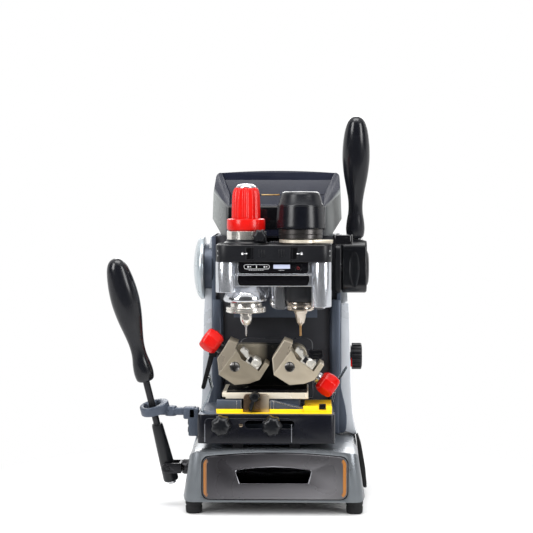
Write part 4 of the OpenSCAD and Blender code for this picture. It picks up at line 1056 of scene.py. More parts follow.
def build_band():
    band = prism("head_belt", rounded(-69, BAND_Y, 67, -4, 14, 10), "Z", 291.01, 311)
    carve(band, block("groove", (-33, -82, 294), (27, -75.8, 308)))
    soften(band, 1.1, 3, 28)
    seams = [soft_block("seam", (x - 0.5, BAND_Y - 0.22, 291.6), (x + 0.5, BAND_Y + 0.4, 310.6), 0.1)
             for x in (-26.4, 20.4)]
    belt = paint(join("belt", band, *seams), charcoal)
    marks = [arrow_mark(-33.5, 301, BAND_Y, 1), *lock_mark(-37.5, 301.2, BAND_Y, False),
             arrow_mark(27.5, 301, BAND_Y, -1), *lock_mark(31.5, 301.2, BAND_Y, True)]
    marks += [mark_on("tick", rounded(x - 0.2, z - 1, x + 0.2, z + 1, 0.15, 2), -74.3, 0.3)
              for x in (-66.5, 64.5) for z in (298.5, 304)]
    marks = paint(join("marks", *marks), white_mark)
    return fit(join("head_belt", belt, marks), "head", None, ["head_band"])


def build_slider():
    plate = soft_prism("plate", rounded(-24.5, 292.2, 18.5, 310.6, 1), "Y", -82.4, -80.3, 0.6, 3)
    neck = soft_block("neck", (-20, -80.4, 295), (14, -76.6, 307), 0.3)
    ridges = [soft_block("ridge", (start + 3 * i, -83.2, 297.4), (start + 1.2 + 3 * i, -82, 305.8), 0.35)
              for start in (-18.5, 4.5) for i in range(3)]
    return fit(join("thumb_slider", plate, neck, *ridges), "band_slider", charcoal,
               ["band_slider"])


white_mark = finish("white_mark", (0.75, 0.76, 0.78), 0.5, grain=500, bump=0.02, vary=0.03)
build_band()
build_slider()

# %% [markdown]
# The control panel is a glossy strip with a pale window, two touch keys in a rounded
# outline, and a power key. The keys are marked by dots and bars, and rows of ticks
# stand below: none of it is lettering. The window glows a little, which an emission
# colour gives it.

# %% Control panel
PANEL_Y, POWER_KEY = -74.5, (27.5, 284)


def glowing(name, colour, strength):
    material = finish(name, colour, 0.2, coat=0.3, grain=300, bump=0.01, vary=0.05)
    shader = material.node_tree.nodes["Principled BSDF"]
    shader.inputs["Emission Color"].default_value = (*colour, 1)
    shader.inputs["Emission Strength"].default_value = strength
    return material


display_glow = glowing("display_glow", (0.42, 0.45, 0.58), 0.2)
power_red = glowing("power_red", (0.22, 0.03, 0.035), 0.02)


def build_control_panel():
    outline = (arc(33.5, 282.5, 6, 270, 360, 6) + [(39.5, 290.8), (-42.5, 290.8)]
               + arc(-36.5, 282.5, 6, 180, 270, 6))
    plate = prism("plate", outline, "Y", PANEL_Y, -70.1)
    carve(plate, rod("key", "Y", -76, -72, POWER_KEY, 3.3))
    plate = paint(soften(plate, 0.5, 3, 28), gloss_black)
    edge = prism("edge", grown(outline, 0.9), "Y", -74.1, -70.3)
    carve(edge, prism("inside", outline, "Y", -76, -69))
    edge = paint(soften(edge, 0.25), chrome)
    pill, pill_room = (arc(-8.5, 285.4, radius, -90, 90, 6) + arc(-33.3, 285.4, radius, 90, 270, 6)
                       for radius in (2.7, 2.35))
    symbols = [carve(mark_on("pill", pill, PANEL_Y, 0.15),
                     prism("inner", pill_room, "Y", PANEL_Y - 1, PANEL_Y + 1))]
    for x in (-31, -12):
        symbols.append(mark_on("dot", arc(x, 285.4, 0.9, 0, 330, 11), PANEL_Y, 0.15))
        symbols.append(mark_on("bar", rounded(x + 1.6, 285, x + 3.4, 285.8, 0.2, 2), PANEL_Y, 0.15))
    symbols.append(mark_on("bar", rounded(-21.6, 284, -20.8, 286.8, 0.2, 2), PANEL_Y, 0.15))
    for start, step, width, count in ((-30, 2.6, 1.4, 7), (4.6, 1.8, 1.0, 4)):
        for i in range(count):
            x = start + step * i
            symbols.append(mark_on("tick", rounded(x, 281.2, x + width, 281.7, 0.15, 2), PANEL_Y, 0.15))
    symbols = paint(join("symbols", *symbols), white_mark)
    window = paint(soften(mark_on("window", rounded(-1.5, 283.2, 18, 288, 0.6, 3), PANEL_Y, 0.3), 0.12),
                   display_glow)
    return fit(join("control_strip", plate, edge, symbols, window), "head", None,
               ["control_panel"])


def build_power_key():
    x, z = POWER_KEY
    key = soften(rod("key", "Y", -74.8, -72.6, POWER_KEY, 3, 40), 0.3)
    ring = mark_on("sign", arc(x, z, 1.7, 120, 420, 14) + arc(x, z, 1.35, 420, 120, 14), -74.7, 0.25)
    bar = mark_on("sign", rounded(x - 0.2, z + 0.2, x + 0.2, z + 2.1, 0.15, 2), -74.7, 0.25)
    sign = paint(join("sign", ring, bar), power_red)
    return fit(join("power_key", paint(key, gloss_black), sign), "power_button", None,
               ["power_button"])


build_control_panel()
build_power_key()

# %% [markdown]
# ## Motor cover, collet lever and collet
#
# The motor cover is a turned shape: a dark collar, a slightly tapered body and a top
# that narrows to a flat cap. It is spun with few points where the real one is
# straight, and the rounded edges between the faces are part of the profile.

# %% Motor cover and collet parts
def build_motor_cover():
    body = [(8, 329.2), (28.4, 329.2), (29.1, 329.8), (29.3, 331), (29.1, 333.4), (28.3, 344), (27.5, 355),
            (27.3, 356.6), (26.8, 357.8), (25.8, 359.2), (22.8, 368.8), (21.9, 371), (20.6, 372.2),
            (19, 372.7), (0, 373), (0, 370), (8, 370)]
    seam = [(26, 355.7), (27.7, 355.7), (27.6, 356.3), (26, 356.3)]
    collar = [(8, 311.1), (19.2, 311.1), (19.6, 311.6), (19.6, 317.4), (25.4, 317.4), (26, 318),
              (26, 322.6), (25.6, 323), (26, 323.4), (26, 328.6), (25.4, 329.3), (8, 329.3)]
    pieces = [paint(turned("cover", body, SPINDLE, limit=30), motor_black),
              paint(turned("seam", seam, SPINDLE), blackened),
              paint(turned("collar", collar, SPINDLE), bronze_dark)]
    return fit(join("motor_cover", *pieces), "head", None, ["motor_housing"])


def build_collet_lever():
    ring = turned("ring", [(19.96, 312.6), (25, 312.6), (25.5, 313.1), (25.5, 316.1), (25, 316.6),
                           (19.96, 316.6)], SPINDLE)
    arm = soft_prism("arm", [(45.5, -64), (70, -70.4), (70, -58), (54, -49)], "Z", 312.6, 316.6)
    paddle = soft_prism("paddle", rounded(67.8, -76, 91, -57, 4.5, 6), "Z", 311.2, 322.8, 1.4, 4, 28)
    lines = [soft_block("line", (80 + 2.4 * i, -76.4, 314), (81 + 2.4 * i, -75.6, 320.5), 0.3)
             for i in range(3)]
    metal = paint(join("metal", ring, arm), champagne)
    paddle = paint(join("paddle", paddle, *lines), gloss_black)
    return fit(join("collet_handle", metal, paddle), "collet_lever", None, ["collet_lever"])


def build_collet():
    nut = spun("nut", [(3, 216.5), (4.2, 216.5), (5, 218), (8.2, 229.6), (8.8, 231.4), (9.6, 232),
                       (15.4, 232), (16.7, 233.4), (16.7, 236.6), (16.0, 237.1), (16.0, 237.9),
                       (16.7, 238.4), (16.7, 242), (15.6, 243), (3, 243)], 72)
    carve(nut, block("flat", (-12, -12, 215), (-6.4, 12, 228)), block("flat", (6.4, -12, 215), (12, 12, 228)))
    holes = [put(rod("hole", "X", 12, 18, (0, 240.2), 1.3, 16), turn=(0, 0, 45 + 90 * i)) for i in range(4)]
    carve(nut, *holes)
    put(soften(nut, 0.25, 2, 30), SPINDLE)
    return fit(nut, "spindle", collet_nickel, ["collet_nut"])


def build_cutter():
    """A shank, a neck and a fluted tip: two helical grooves are carved as short slots."""
    body = spun("end_mill", [(0, 201.5), (0.9, 201.5), (1.25, 201.9), (1.25, 213.5), (3, 216),
                             (3, 229.5), (0, 229.5)], 32)
    flutes = [put(block("groove", (0.72, -0.42, -0.9), (2, 0.42, 0.9)), (0, 0, 202.6 + 1.15 * i),
                  (24, 0, 40 * i + half)) for i in range(9) for half in (0, 180)]
    carve(body, *flutes)
    put(smooth(body, 30), SPINDLE)
    return fit(body, "spindle", gold, ["cutter"])


collet_nickel = finish("collet_nickel", (0.62, 0.55, 0.475), 0.2, metallic=1.0, grain=300,
                       bump=0.02, vary=0.04)
bronze_dark = finish("collar_steel", (0.085, 0.08, 0.078), 0.3, metallic=0.85, bump=0.04, vary=0.06,
                     brushed=(60.0, 60.0, 1200.0))
build_motor_cover()
build_collet_lever()
build_collet()
build_cutter()

# %% [markdown]
# ## Tracer
#
# The tracer's height is set with a red knob. Its crown is fluted, so the outline
# is a circle with twelve shallow waves, extruded upwards in steps that draw in to
# a rim, and a chrome dome closes it. Below it are a polished ring and a black foot.

# %% Tracer knob
def crown(name, outline, rings):
    """An outline extruded upwards through (scale, height) rings."""
    low_scale, low_z = rings[0]
    obj = loop(name, [(x * low_scale, y * low_scale, low_z) for x, y in outline])
    bpy.ops.object.mode_set(mode="EDIT")
    bpy.ops.mesh.select_all(action="SELECT")
    for (scale, z), (last_scale, last_z) in zip(rings[1:], rings):
        bpy.ops.mesh.extrude_region_move(TRANSFORM_OT_translate={"value": (0, 0, (z - last_z) * MM)})
        factor = scale / last_scale
        bpy.ops.transform.resize(value=(factor, factor, 1), center_override=(0, 0, z * MM))
    bpy.ops.object.mode_set(mode="OBJECT")
    return outward(obj)


def build_tracer_knob():
    flange = turned("flange", [(0, 327.2), (21.5, 327.2), (22.6, 328.2), (22.8, 329.4), (22.8, 338.4),
                               (22.4, 340), (21.2, 340.9), (0, 341.2)], TRACER)
    lugs = [put(soft_block("lug", (20.6, -2.2, 331), (23.0, 2.2, 339), 0.7, 3), TRACER, (0, 0, 45 + 90 * i))
            for i in range(4)]
    body = crown("crown", lobed(17, 1.6, 12, 144),
                 [(1, 341), (1, 347), (0.985, 358), (0.965, 366), (0.94, 370.4), (0.89, 373.8), (0.82, 376.2),
                  (0.74, 377.6)])
    body = smooth(put(body, TRACER), 40)
    stem = turned("stem", [(0, 290), (5, 290), (5, 327.4), (0, 327.4)], TRACER, steps=32)
    red = paint(join("red", flange, *lugs, body, stem), red_plastic)
    dome = turned("dome", [(0, 376), (11.9, 376), (12, 377.6), (11.6, 378.8), (10.6, 379.9), (8.8, 380.9),
                           (6.2, 381.6), (3, 381.9), (0, 382)], TRACER, steps=64)
    return fit(join("tracer_height_knob", red, paint(dome, steel)), "tracer_knob", None,
               ["tracer_knob"])


def build_tracer_ring():
    ring = turned("ring", [(5.06, 314.5), (22, 314.5), (22.8, 315.2), (22.8, 326), (22, 326.7),
                           (5.06, 326.7)], TRACER)
    foot = turned("foot", [(5.06, 311.1), (27, 311.1), (26.8, 312.4), (25, 313.6), (23.6, 314.4),
                           (23.4, 316.6), (5.06, 316.6)], TRACER)
    lug = soft_block("lug", (-25, -66, 313), (-10, -52, 326), 1.2, 3)
    foot = paint(join("foot", foot, lug), charcoal)
    return fit(join("tracer_collar", paint(ring, dial_steel), foot), "head", None,
               ["tracer_barrel"])


def build_tracer_clamp():
    x, z = -17.5, 321.5
    knob = crown("knob", lobed(8, 1.4, 6, 96),
                 [(0.94, 0), (1, 1.2), (1, 7.5), (0.94, 9.6), (0.8, 10.7), (0.5, 11.2)])
    knob = smooth(put(knob, (x, -67.5, z), (90, 0, 0)), 40)
    shank = rod("shank", "Y", -68, -57, (x, z), 2.5, 32)
    return fit(join("tracer_lock_knob", knob, shank), "tracer_clamp", charcoal,
               ["tracer_clamp_knob"])


dial_steel = finish("dial_steel", (0.78, 0.75, 0.70), 0.2, metallic=0.85, bump=0.06, vary=0.05,
                    brushed=(60.0, 60.0, 1300.0))
build_tracer_knob()
build_tracer_ring()
build_tracer_clamp()

# %% [markdown]
# Under the head, the tracer's quill carries a bright dial with a fine edge groove,
# and a small chuck that holds the point. All of it is turned work, so all of it is
# spun, with the grooves in the profile.

# %% Tracer quill and point
def build_quill():
    quill = spun("quill", [(3, 214.8), (4.4, 214.8), (5.2, 216), (6.8, 219.8), (7.2, 222), (7.2, 225.2),
                           (6.7, 225.6), (6.7, 226.2), (7.2, 226.6), (7.2, 228.4), (9, 229.7), (23, 229.8),
                           (24, 230.7), (24, 232.6), (23.5, 233), (23.5, 233.6), (24, 234), (24, 235.9),
                           (23.2, 236.8), (19, 237), (18.8, 237.3), (18.8, 240.9), (18, 241.6), (12, 241.6),
                           (12, 303), (5.06, 303), (5.06, 284), (3, 284)], 96)
    carve(quill, block("notch", (-1.1, -25, 236.2), (1.1, -17.6, 243)))
    put(smooth(quill, 34), TRACER)
    return fit(quill, "tracer", dial_steel, ["tracer_quill"])


def build_tracer_point():
    point = turned("stylus", [(0, 201), (0.45, 201.1), (1.25, 204), (1.25, 211.8), (1.7, 212.6), (3, 215.5),
                              (3, 225.5), (0, 225.5)], TRACER, steps=32, limit=34)
    return fit(point, "tracer", steel, ["tracer_point"])


build_quill()
build_tracer_point()

# %% [markdown]
# ## Feed lever
#
# The lever's hub is a rounded box with an oval relief on its front, and the grip
# is turned like a bowling pin. Its profile is rounded off between the measured
# points before it is spun, so the silhouette stays smooth. The joystick has the
# same grip.

# %% Grip, hub and lever
GRIP = [(0, 0), (9.2, 0), (10.2, 1.2), (10.9, 4), (11.4, 11), (10.6, 20), (9.1, 29), (8.6, 37), (9.1, 47),
        (11.4, 61), (14.2, 76), (16.1, 92), (16.5, 103), (15.9, 116), (14.1, 130), (11.4, 141), (7.6, 147.2),
        (3.5, 149.6), (0, 150)]
LEVER_X, LEVER_LEAN = 96.5, 14


def build_grip(name):
    """The grip along Z with its root at the origin; the path is smoothed between its points."""
    rings = []
    for i in range(1, len(GRIP) - 2):
        before, a, b, after = (Vector(GRIP[k]) for k in (i - 1, i, i + 1, i + 2))
        for t in (0.0, 0.34, 0.67):
            if i < 3:
                rings.append(tuple(a.lerp(b, t)))
                continue
            smooth_point = 0.5 * (2 * a + (b - before) * t + (2 * before - 5 * a + 4 * b - after) * t ** 2
                                  + (3 * a - before - 3 * b + after) * t ** 3)
            rings.append(tuple(smooth_point))
    profile = [(0, 0)] + rings + [GRIP[-2], GRIP[-1]]
    return smooth(spun(name, profile, 80), 50)


def on_lever(obj):
    return put(obj, (LEVER_X, SHAFT_Y, SHAFT_Z), (LEVER_LEAN, 0, 0))


def build_hub():
    hub = prism("hub", rounded(9, 248.5, 71, 313.5, 13, 8), "X", 79.8, 110.4)
    carve(hub, rod("bore", "X", 79, 86.2, (SHAFT_Y, SHAFT_Z), 8.02))
    soften(hub, 2.6, 5, 28)
    cap = crown("cap", lobed(22, 0, 1, 72),
                [(1, 0), (0.99, 0.8), (0.93, 1.9), (0.8, 2.9), (0.6, 3.4), (0.3, 3.6)])
    cap = smooth(put(cap, (110.2, SHAFT_Y, SHAFT_Z), (0, 90, 0)))
    middle_x, middle_z = 95, SHAFT_Z
    oval = [(6.4 * math.cos(TURN * i / 40), 22.5 * math.sin(TURN * i / 40)) for i in range(40)]
    relief = prism("oval", [(middle_x + x, middle_z + z) for x, z in oval], "Y", 8.2, 10)
    hollow = [(middle_x + 0.6 + x * 0.82, middle_z + z * 0.93) for x, z in oval]
    carve(relief, prism("inside", hollow, "Y", 7, 8.8))
    relief = soften(relief, 0.35, 2, 26)
    neck = on_lever(turned("neck", [(0, 28), (9.6, 28), (9.6, 34.6), (9, 37.5), (0, 37.5)], steps=48))
    dark = paint(join("dark", hub, cap, relief, neck), hub_black)
    stem = on_lever(turned("stem", [(0, 30), (4, 30), (4, 44), (0, 44)], steps=32))
    washer = on_lever(turned("washer", [(0, 37), (7.4, 37), (7.4, 39.2), (6.4, 40), (0, 40)], steps=6,
                             limit=20))
    bright = paint(join("bright", stem, washer), steel)
    return fit(join("lever_hub_body", dark, bright), "lever", None, ["lever_hub"])


def build_lever_grip():
    grip = on_lever(put(build_grip("feed_grip"), (0, 0, 40)))
    return fit(grip, "lever", grip_black, ["lever_grip"])


grip_black = finish("grip_black", (0.006, 0.0065, 0.009), 0.22, grain=500, bump=0.03, specular=0.4)
hub_black = finish("hub_black", (0.006, 0.0065, 0.008), 0.24, grain=1200, bump=0.06, specular=0.4)
build_hub()
build_lever_grip()

# %% [markdown]
# ## Lock wheel and depth knob
#
# The silver wheel locks the head. It is a plain dome, spun, with a groove near its
# rim. The black knob on the right sets the depth stop: its grip is a ring of ribs,
# and a small red mark sits at its foot.

# %% Wheel and knob
def build_lock_wheel():
    wheel = turned("wheel", [(8.06, 0), (37.6, 0), (38.6, 0.7), (39.2, 2.2), (39.2, 3.6), (38.6, 5.2),
                             (37.6, 6.2), (37.1, 6.1), (36.4, 6.9), (36, 7.6), (32, 9.6), (26, 11.4),
                             (19, 12.7), (10, 13.7), (4, 13.95), (0, 14), (0, 12.3), (8.06, 12.3)],
                   (-88.4, SHAFT_Y, SHAFT_Z), (0, -90, 0), 120, 30)
    return fit(wheel, "head_lock_wheel", wheel_silver, ["head_lock_wheel"])


def build_depth_knob():
    count = 18
    ribs = [(radius * math.cos(TURN * (i + share) / count), radius * math.sin(TURN * (i + share) / count))
            for i in range(count)
            for radius, share in ((16.5, 0.0), (16.5, 0.42), (15.0, 0.52), (15.0, 0.9))]
    knob = soften(crown("knob", ribs, [(0.98, 0), (1, 0.8), (1, 10.8), (0.95, 12)]), 0.35, 2, 30)
    face = turned("face", [(0, 11.9), (13.4, 11.9), (13.2, 12.5), (11.6, 12.5), (11, 12.1), (0, 12.1)],
                  steps=48)
    black = paint(put(join("black", knob, face), (93, *DEPTH_KNOB), (0, 90, 0)), charcoal)
    ring = turned("ring", [(5.06, 0), (13.2, 0), (13.5, 0.3), (13.5, 1.6), (5.06, 1.6)],
                  (91.6, *DEPTH_KNOB), (0, 90, 0), 64)
    ring = paint(ring, blackened)
    mark = paint(soft_block("mark", (91.7, 31.3, 156), (93.1, 33.4, 167), 0.3), red_plastic)
    return fit(join("depth_stop_knob", black, ring, mark), "depth_knob", None,
               ["depth_knob"])


build_lock_wheel()
build_depth_knob()

# %% [markdown]
# ## Cross table
#
# The table's cover wraps round the front with rounded corners. Its left part is a
# raised plate with a slot for the cross lock. Seen from above, the cover is an
# outline with two arcs, and the room behind it is cut away afterwards.

# %% Front cover
TABLE_X0, TABLE_X1, COVER_Y = -88.5, 70.5, -112
CROSS_LOCK_X, LONG_LOCK_X, LOCK_Z = -2, -60.2, 105.5


def build_front_cover():
    outline = (arc(TABLE_X0 + 6, COVER_Y + 6, 6, 180, 270, 6) + arc(TABLE_X1 - 6, COVER_Y + 6, 6, 270, 360, 6)
               + [(TABLE_X1, -60), (TABLE_X0, -60)])
    shell = prism("cover", outline, "Z", 83, 116.6)
    carve(shell, block("room", (TABLE_X0 + 0.9, COVER_Y + 3.6, 82), (TABLE_X1 - 1.4, -59, 118)))
    plate = [(-80, 83.6), (20.7, 83.6)] + arc(15.7, 107.5, 5, 0, 90, 6) + arc(-75, 107.5, 5, 90, 180, 6)
    raised = prism("raised", plate, "Y", COVER_Y - 2, COVER_Y + 0.4)
    slot = rounded(-33.5, LOCK_Z - 4.7, 23.5, LOCK_Z + 4.7, 4.5, 6)
    for solid in (shell, raised):
        carve(solid, prism("slot", slot, "Y", COVER_Y - 4, COVER_Y + 5),
              rod("hole", "Y", COVER_Y - 4, COVER_Y + 5, (LONG_LOCK_X, LOCK_Z), 3.4, 32))
        soften(solid, 0.7, 3, 26)
    cover = paint(join("cover", shell, raised), cover_black)
    # Two pale strips on the upright ends of the raised plate are painted highlights.
    edges = [soft_block("edge", (x - 0.45, COVER_Y - 2.25, 85), (x + 0.45, COVER_Y - 1.4, 106), 0.3)
             for x in (-79.7, 20.4)]
    edges = paint(join("edges", *edges), edge_painted_highlight)
    screw = rod("screw", "Y", COVER_Y - 2.3, COVER_Y - 1.6, (-38, LOCK_Z - 0.5), 2.3, 24)
    carve(screw, block("cut", (-41, COVER_Y - 3, LOCK_Z - 0.9), (-34, COVER_Y - 2.1, LOCK_Z - 0.2)))
    screw = paint(soften(screw, 0.25), bronze)
    return fit(join("table_cover", cover, edges, screw), "table", None, ["front_cover"])


def build_star_knob(name, node, body, x):
    knob = crown("knob", lobed(12, 1.5, 7, 126),
                 [(0.72, 0), (0.95, 1.4), (1, 4), (1, 11), (0.97, 13.6), (0.9, 16), (0.78, 17.7),
                  (0.58, 18.7), (0.3, 19)])
    knob = smooth(put(knob, (x, -115.5, LOCK_Z), (90, 0, 0)), 46)
    shank = rod("shank", "Y", -116, -98, (x, LOCK_Z), 3, 32)
    return fit(join(name, knob, shank), body, knob_black, [node])


# The cover's black takes a paler colour along its edges: a painted highlight.
cover_black = finish("cover_black", (0.0055, 0.006, 0.0095), 0.26, grain=1100, bump=0.06,
                     wear_and_highlight=(0.16, 0.165, 0.19), wear_and_highlight_amount=0.7, specular=0.35)
edge_painted_highlight = finish("edge_painted_highlight", (0.22, 0.225, 0.25), 0.3, metallic=0.4, grain=900, bump=0.05)
knob_black = finish("knob_black", (0.0045, 0.005, 0.0065), 0.28, grain=700, bump=0.03, specular=0.32)
build_front_cover()
build_star_knob("cross_lock_knob", "x_lock_knob", "x_lock_knob", CROSS_LOCK_X)
build_star_knob("long_lock_knob", "table_lock_knob", "table_lock_knob", LONG_LOCK_X)

# %% [markdown]
# On the table lie a yellow film, two slate tool blocks whose bright outline is a set
# of steel strips standing in for highlights on their edges, and the bronze-coloured
# housing of the tilt lock, painted lighter at its right end as a highlight. The film
# is left bare.

# %% Table top
TILT_LOCK, INDEX_PIVOT = (-22.5, 135.4), (-20, 180)
CLAMP_XS, CLAMP_Z, CLAMP_TILT = {"left": -37, "right": 27.5}, 173, 35


def build_table_frame():
    top = 117
    blocks = [block("plate", (-87.5, -108, 112.5), (69, -12, top)),
              block("wall", (-87.5, -102, 86), (-81.5, -14, 112.6)),
              block("wall", (62.5, -102, 86), (69, -14, 112.6)),
              block("lug", (-68, -108, 99), (-52, -99, 112.6)),
              block("pedestal", (-50, -84, top), (30, -14, 132)),
              block("tool", (-67, -97, top), (-38, -84.5, 131)),
              prism("tool", [(-5, top), (34.9, top), (34.9, 122), (-2, 131), (-5, 131)], "Y", -97, -84.5)]
    slate = paint(join("slate", *[soften(solid, 0.7) for solid in blocks]), slate_paint)
    # Thin steel strips along the tool blocks' top and upright edges are painted highlights.
    slope = [(-3, 130.2), (34.4, 121.2), (34.4, 122.2), (-3, 131.2)]
    lines = [soft_prism("line", slope, "Y", -97.6, -96.6, 0.15)]
    lines += [soft_block("line", (x, -97.5, top), (x + 0.8, -96.6, 131), 0.2) for x in (-44, -38.8, -5, -1)]
    bright = paint(join("bright", *lines), steel)
    x0, x1 = -35.6, -6
    shape = [(x1, top)] + arc(x1 - 4, 134, 4, 0, 90, 6) + arc(x0 + 4, 134, 4, 90, 180, 6) + [(x0, top)]
    housing = prism("housing", shape, "Y", -98, -88.2)
    carve(housing, rod("bore", "Y", -99, -88, TILT_LOCK, 6.4, 48))
    seat = soft_block("seat", (x0, -90, top), (x1, -83, 129), 0.4)
    housing = paint(join("housing", soften(housing, 0.9, 3, 28), seat), housing_bronze_with_painted_light)
    return fit(join("table_body", slate, bright, housing), "table", None, ["table_frame"])


def build_yellow_film():
    front = soft_prism("film", rounded(-66.7, -107, 67, -97.6, 1.5, 4), "Z", 117.02, 117.7, 0.2)
    stands = [soft_block("film", (x0, -98.7, 117.1), (x1, -98.05, top), 0.25)
              for x0, x1, top in ((-67.5, -36.2, 121.4), (-5.4, 34.6, 121.4), (33.6, 67, 125.2))]
    strip = [(-97.8, 119.6), (-40, 123.5), (-40, 124.4), (-97.8, 120.5)]
    side = soft_prism("film", strip, "X", 35, 66.8, 0.25)
    wedge = prism("wedge", [(-97.5, 117), (-40, 117), (-40, 123.4), (-97.5, 119.5)], "X", 36, 66)
    clip = soft_block("clip", (52, -99.6, 121), (60, -96, 127.6), 0.6, 3)
    film = paint(join("film", front, *stands, side), yellow_film)
    return fit(join("table_film", film, paint(wedge, slate_paint), paint(clip, knob_black)), "table")


# The cradle's back is black with beige painted towards both clamps and kept black low down: a painted
# reflection on satin metal.
PAINTED_REFLECTION_BEIGE = (0.40, 0.36, 0.285)
cradle_metal_with_painted_reflection = finish("cradle_metal_with_painted_reflection", (0.012, 0.012, 0.013), 0.3, metallic=0.5, grain=1500, bump=0.06,
                      wear_and_highlight=(0.3, 0.27, 0.22), wear_and_highlight_amount=0.6,
                      fades=[((-1, 0, 0), 9, 21, False, PAINTED_REFLECTION_BEIGE), ((1, 0, 0), 20, 32, False, PAINTED_REFLECTION_BEIGE),
                             ((0, 0, -1), -174, -162, False, (0.012, 0.012, 0.013))])


def build_plate_and_cradle():
    plate = block("plate", (-61, -88, 132), (39.5, -8, 138.8))
    carve(plate, rod("bore", "Y", -89, -78, TILT_LOCK, 2.06, 24),
          block("notch", (-62, -89, 131), (-57, -7, 134)))
    soften(plate, 0.6)
    fit(join("clamp_base_plate", plate), "table", champagne, ["clamp_plate"])
    slab = soft_block("slab", (-56, -84, 138.81), (38, -30, 140.4))
    wall = [(38, 138.81)] + arc(24, 176, 14, 0, 90, 10) + arc(-41, 176, 14, 90, 180, 10) + [(-55, 138.81)]
    back = prism("back", wall, "Y", -31, -8)
    carve(back, *[rod("bore", "Y", -32, -7, (x, CLAMP_Z), 9.06) for x in CLAMP_XS.values()])
    soften(back, 2.0, 4, 28)
    pivot = soften(rod("pivot", "X", -71, -54, INDEX_PIVOT, 5), 0.5)
    pin = soften(rod("pivot", "X", -80, -70, INDEX_PIVOT, 3, 32), 0.3)
    ridges = [soften(rod("ridge", "Y", -31.6, -30, (-26 + 7.5 * i, 187), 1.1, 16), 0.3) for i in range(7)]
    dark = paint(join("dark", slab, pivot, pin), gloss_black)
    back = paint(join("back", back, *ridges), cradle_metal_with_painted_reflection)
    return fit(join("clamp_cradle_body", dark, back), "table", None, ["clamp_cradle"])


def build_tilt_lock():
    x, z = TILT_LOCK
    hub = turned("hub", [(0, 0), (5.6, 0), (5.6, 15), (4.6, 16.6), (2.6, 17), (2.2, 16.4), (0, 16.4)],
                 (x, -89, z), (90, 0, 0), 40)
    shank = rod("shank", "Y", -90, -79, TILT_LOCK, 2, 24)
    bar = turned("bar", [(0, -16.9), (2.2, -16.9), (3.3, -15), (2.6, -2), (0, -2)],
                 (x, -102.4, z), (0, 18, 0), 24)
    return fit(join("tilt_lock_handle", hub, shank, bar), "tilt_lock_lever", knob_black,
               ["tilt_lock_lever"])


def build_index_lever():
    collar = turned("collar", [(3.06, -4.5), (6, -4.5), (6.5, -4), (6.5, 4), (6, 4.5), (3.06, 4.5)],
                    (-75.9, *INDEX_PIVOT), (0, 90, 0), 40)
    outline = [(-3.3, 1.8), (2.9, 1.8), (2.6, -40.4)] + arc(0.1, -40.4, 2.5, 0, -180, 6)
    bar = soft_prism("bar", outline, "Y", -3.4, 3.4, 1.1, 3, 40)
    put(bar, (-77, -20, 176), (0, 15, 0))
    return fit(join("index_handle", collar, bar), "index_lever", rubber, ["index_lever"])


build_table_frame()
build_yellow_film()
build_plate_and_cradle()
build_tilt_lock()
build_index_lever()

# %% [markdown]
# Clear guards keep the chips off the slides. They are bent sheets, so each is a
# thin outline, and a pale rim on its front end is a painted highlight along the
# sheet's edge.

# %% Guards
def clear_sheet():
    material = plain_material("clear_sheet", (0.86, 0.92, 0.95), 0.1)
    tree = material.node_tree
    shader = tree.nodes["Principled BSDF"]
    shader.inputs["Transmission Weight"].default_value = 1.0
    shader.inputs["IOR"].default_value = 1.3
    patches = group_node(tree, GRAIN, {"Scale": 200.0}).outputs["Patches"]
    wire(tree, (spread(tree, patches, 0.02, 0.12), shader.inputs["Roughness"]))
    return material


clear = clear_sheet()
# Pale strips on the guards' front ends: painted highlights along the sheets' edges.
guard_rim_painted_highlight = finish("guard_edge_painted_highlight", (0.55, 0.62, 0.66), 0.35, grain=900, bump=0.02, vary=0.03)


def build_guards():
    right = [(66, 117), (68, 117), (75, 144), (86, 162), (84.6, 163.4), (73.2, 145)]
    left = [(-84, 117), (-86, 117), (-74, 144), (-77.4, 158), (-75.6, 158.6), (-72, 144.4)]
    right_rim = [(75.2, 144.2), (85.8, 161.8), (84.8, 163.1), (73.4, 145)]
    left_rim = [(-74.2, 144.2), (-77.2, 157.8), (-75.8, 158.3), (-72.2, 144.5)]
    pieces = [soft_prism("guard", right, "Y", -34, -13.5, 0.3), soft_prism("guard", left, "Y", -92, -72, 0.3),
              paint(prism("rim", right_rim, "Y", -35, -34.05), guard_rim_painted_highlight),
              paint(prism("rim", left_rim, "Y", -92, -91.2), guard_rim_painted_highlight)]
    return fit(join("chip_guard_pair", *pieces), "table", clear, ["chip_guards"])


build_guards()

# %% [markdown]
# ## Key clamps
# Each clamp is a milled block that leans to the right, with a stepped fixed jaw, a
# moving jaw and a red knob on its screw. Everything on a clamp is drawn upright
# and then tilted as one by the same turn. A facet plate on the front gives the
# milled line that runs down the left third; its tone and bright edges are painted
# light and shade of that facet. The left clamp is a darker copy of the same nickel,
# painted shade.

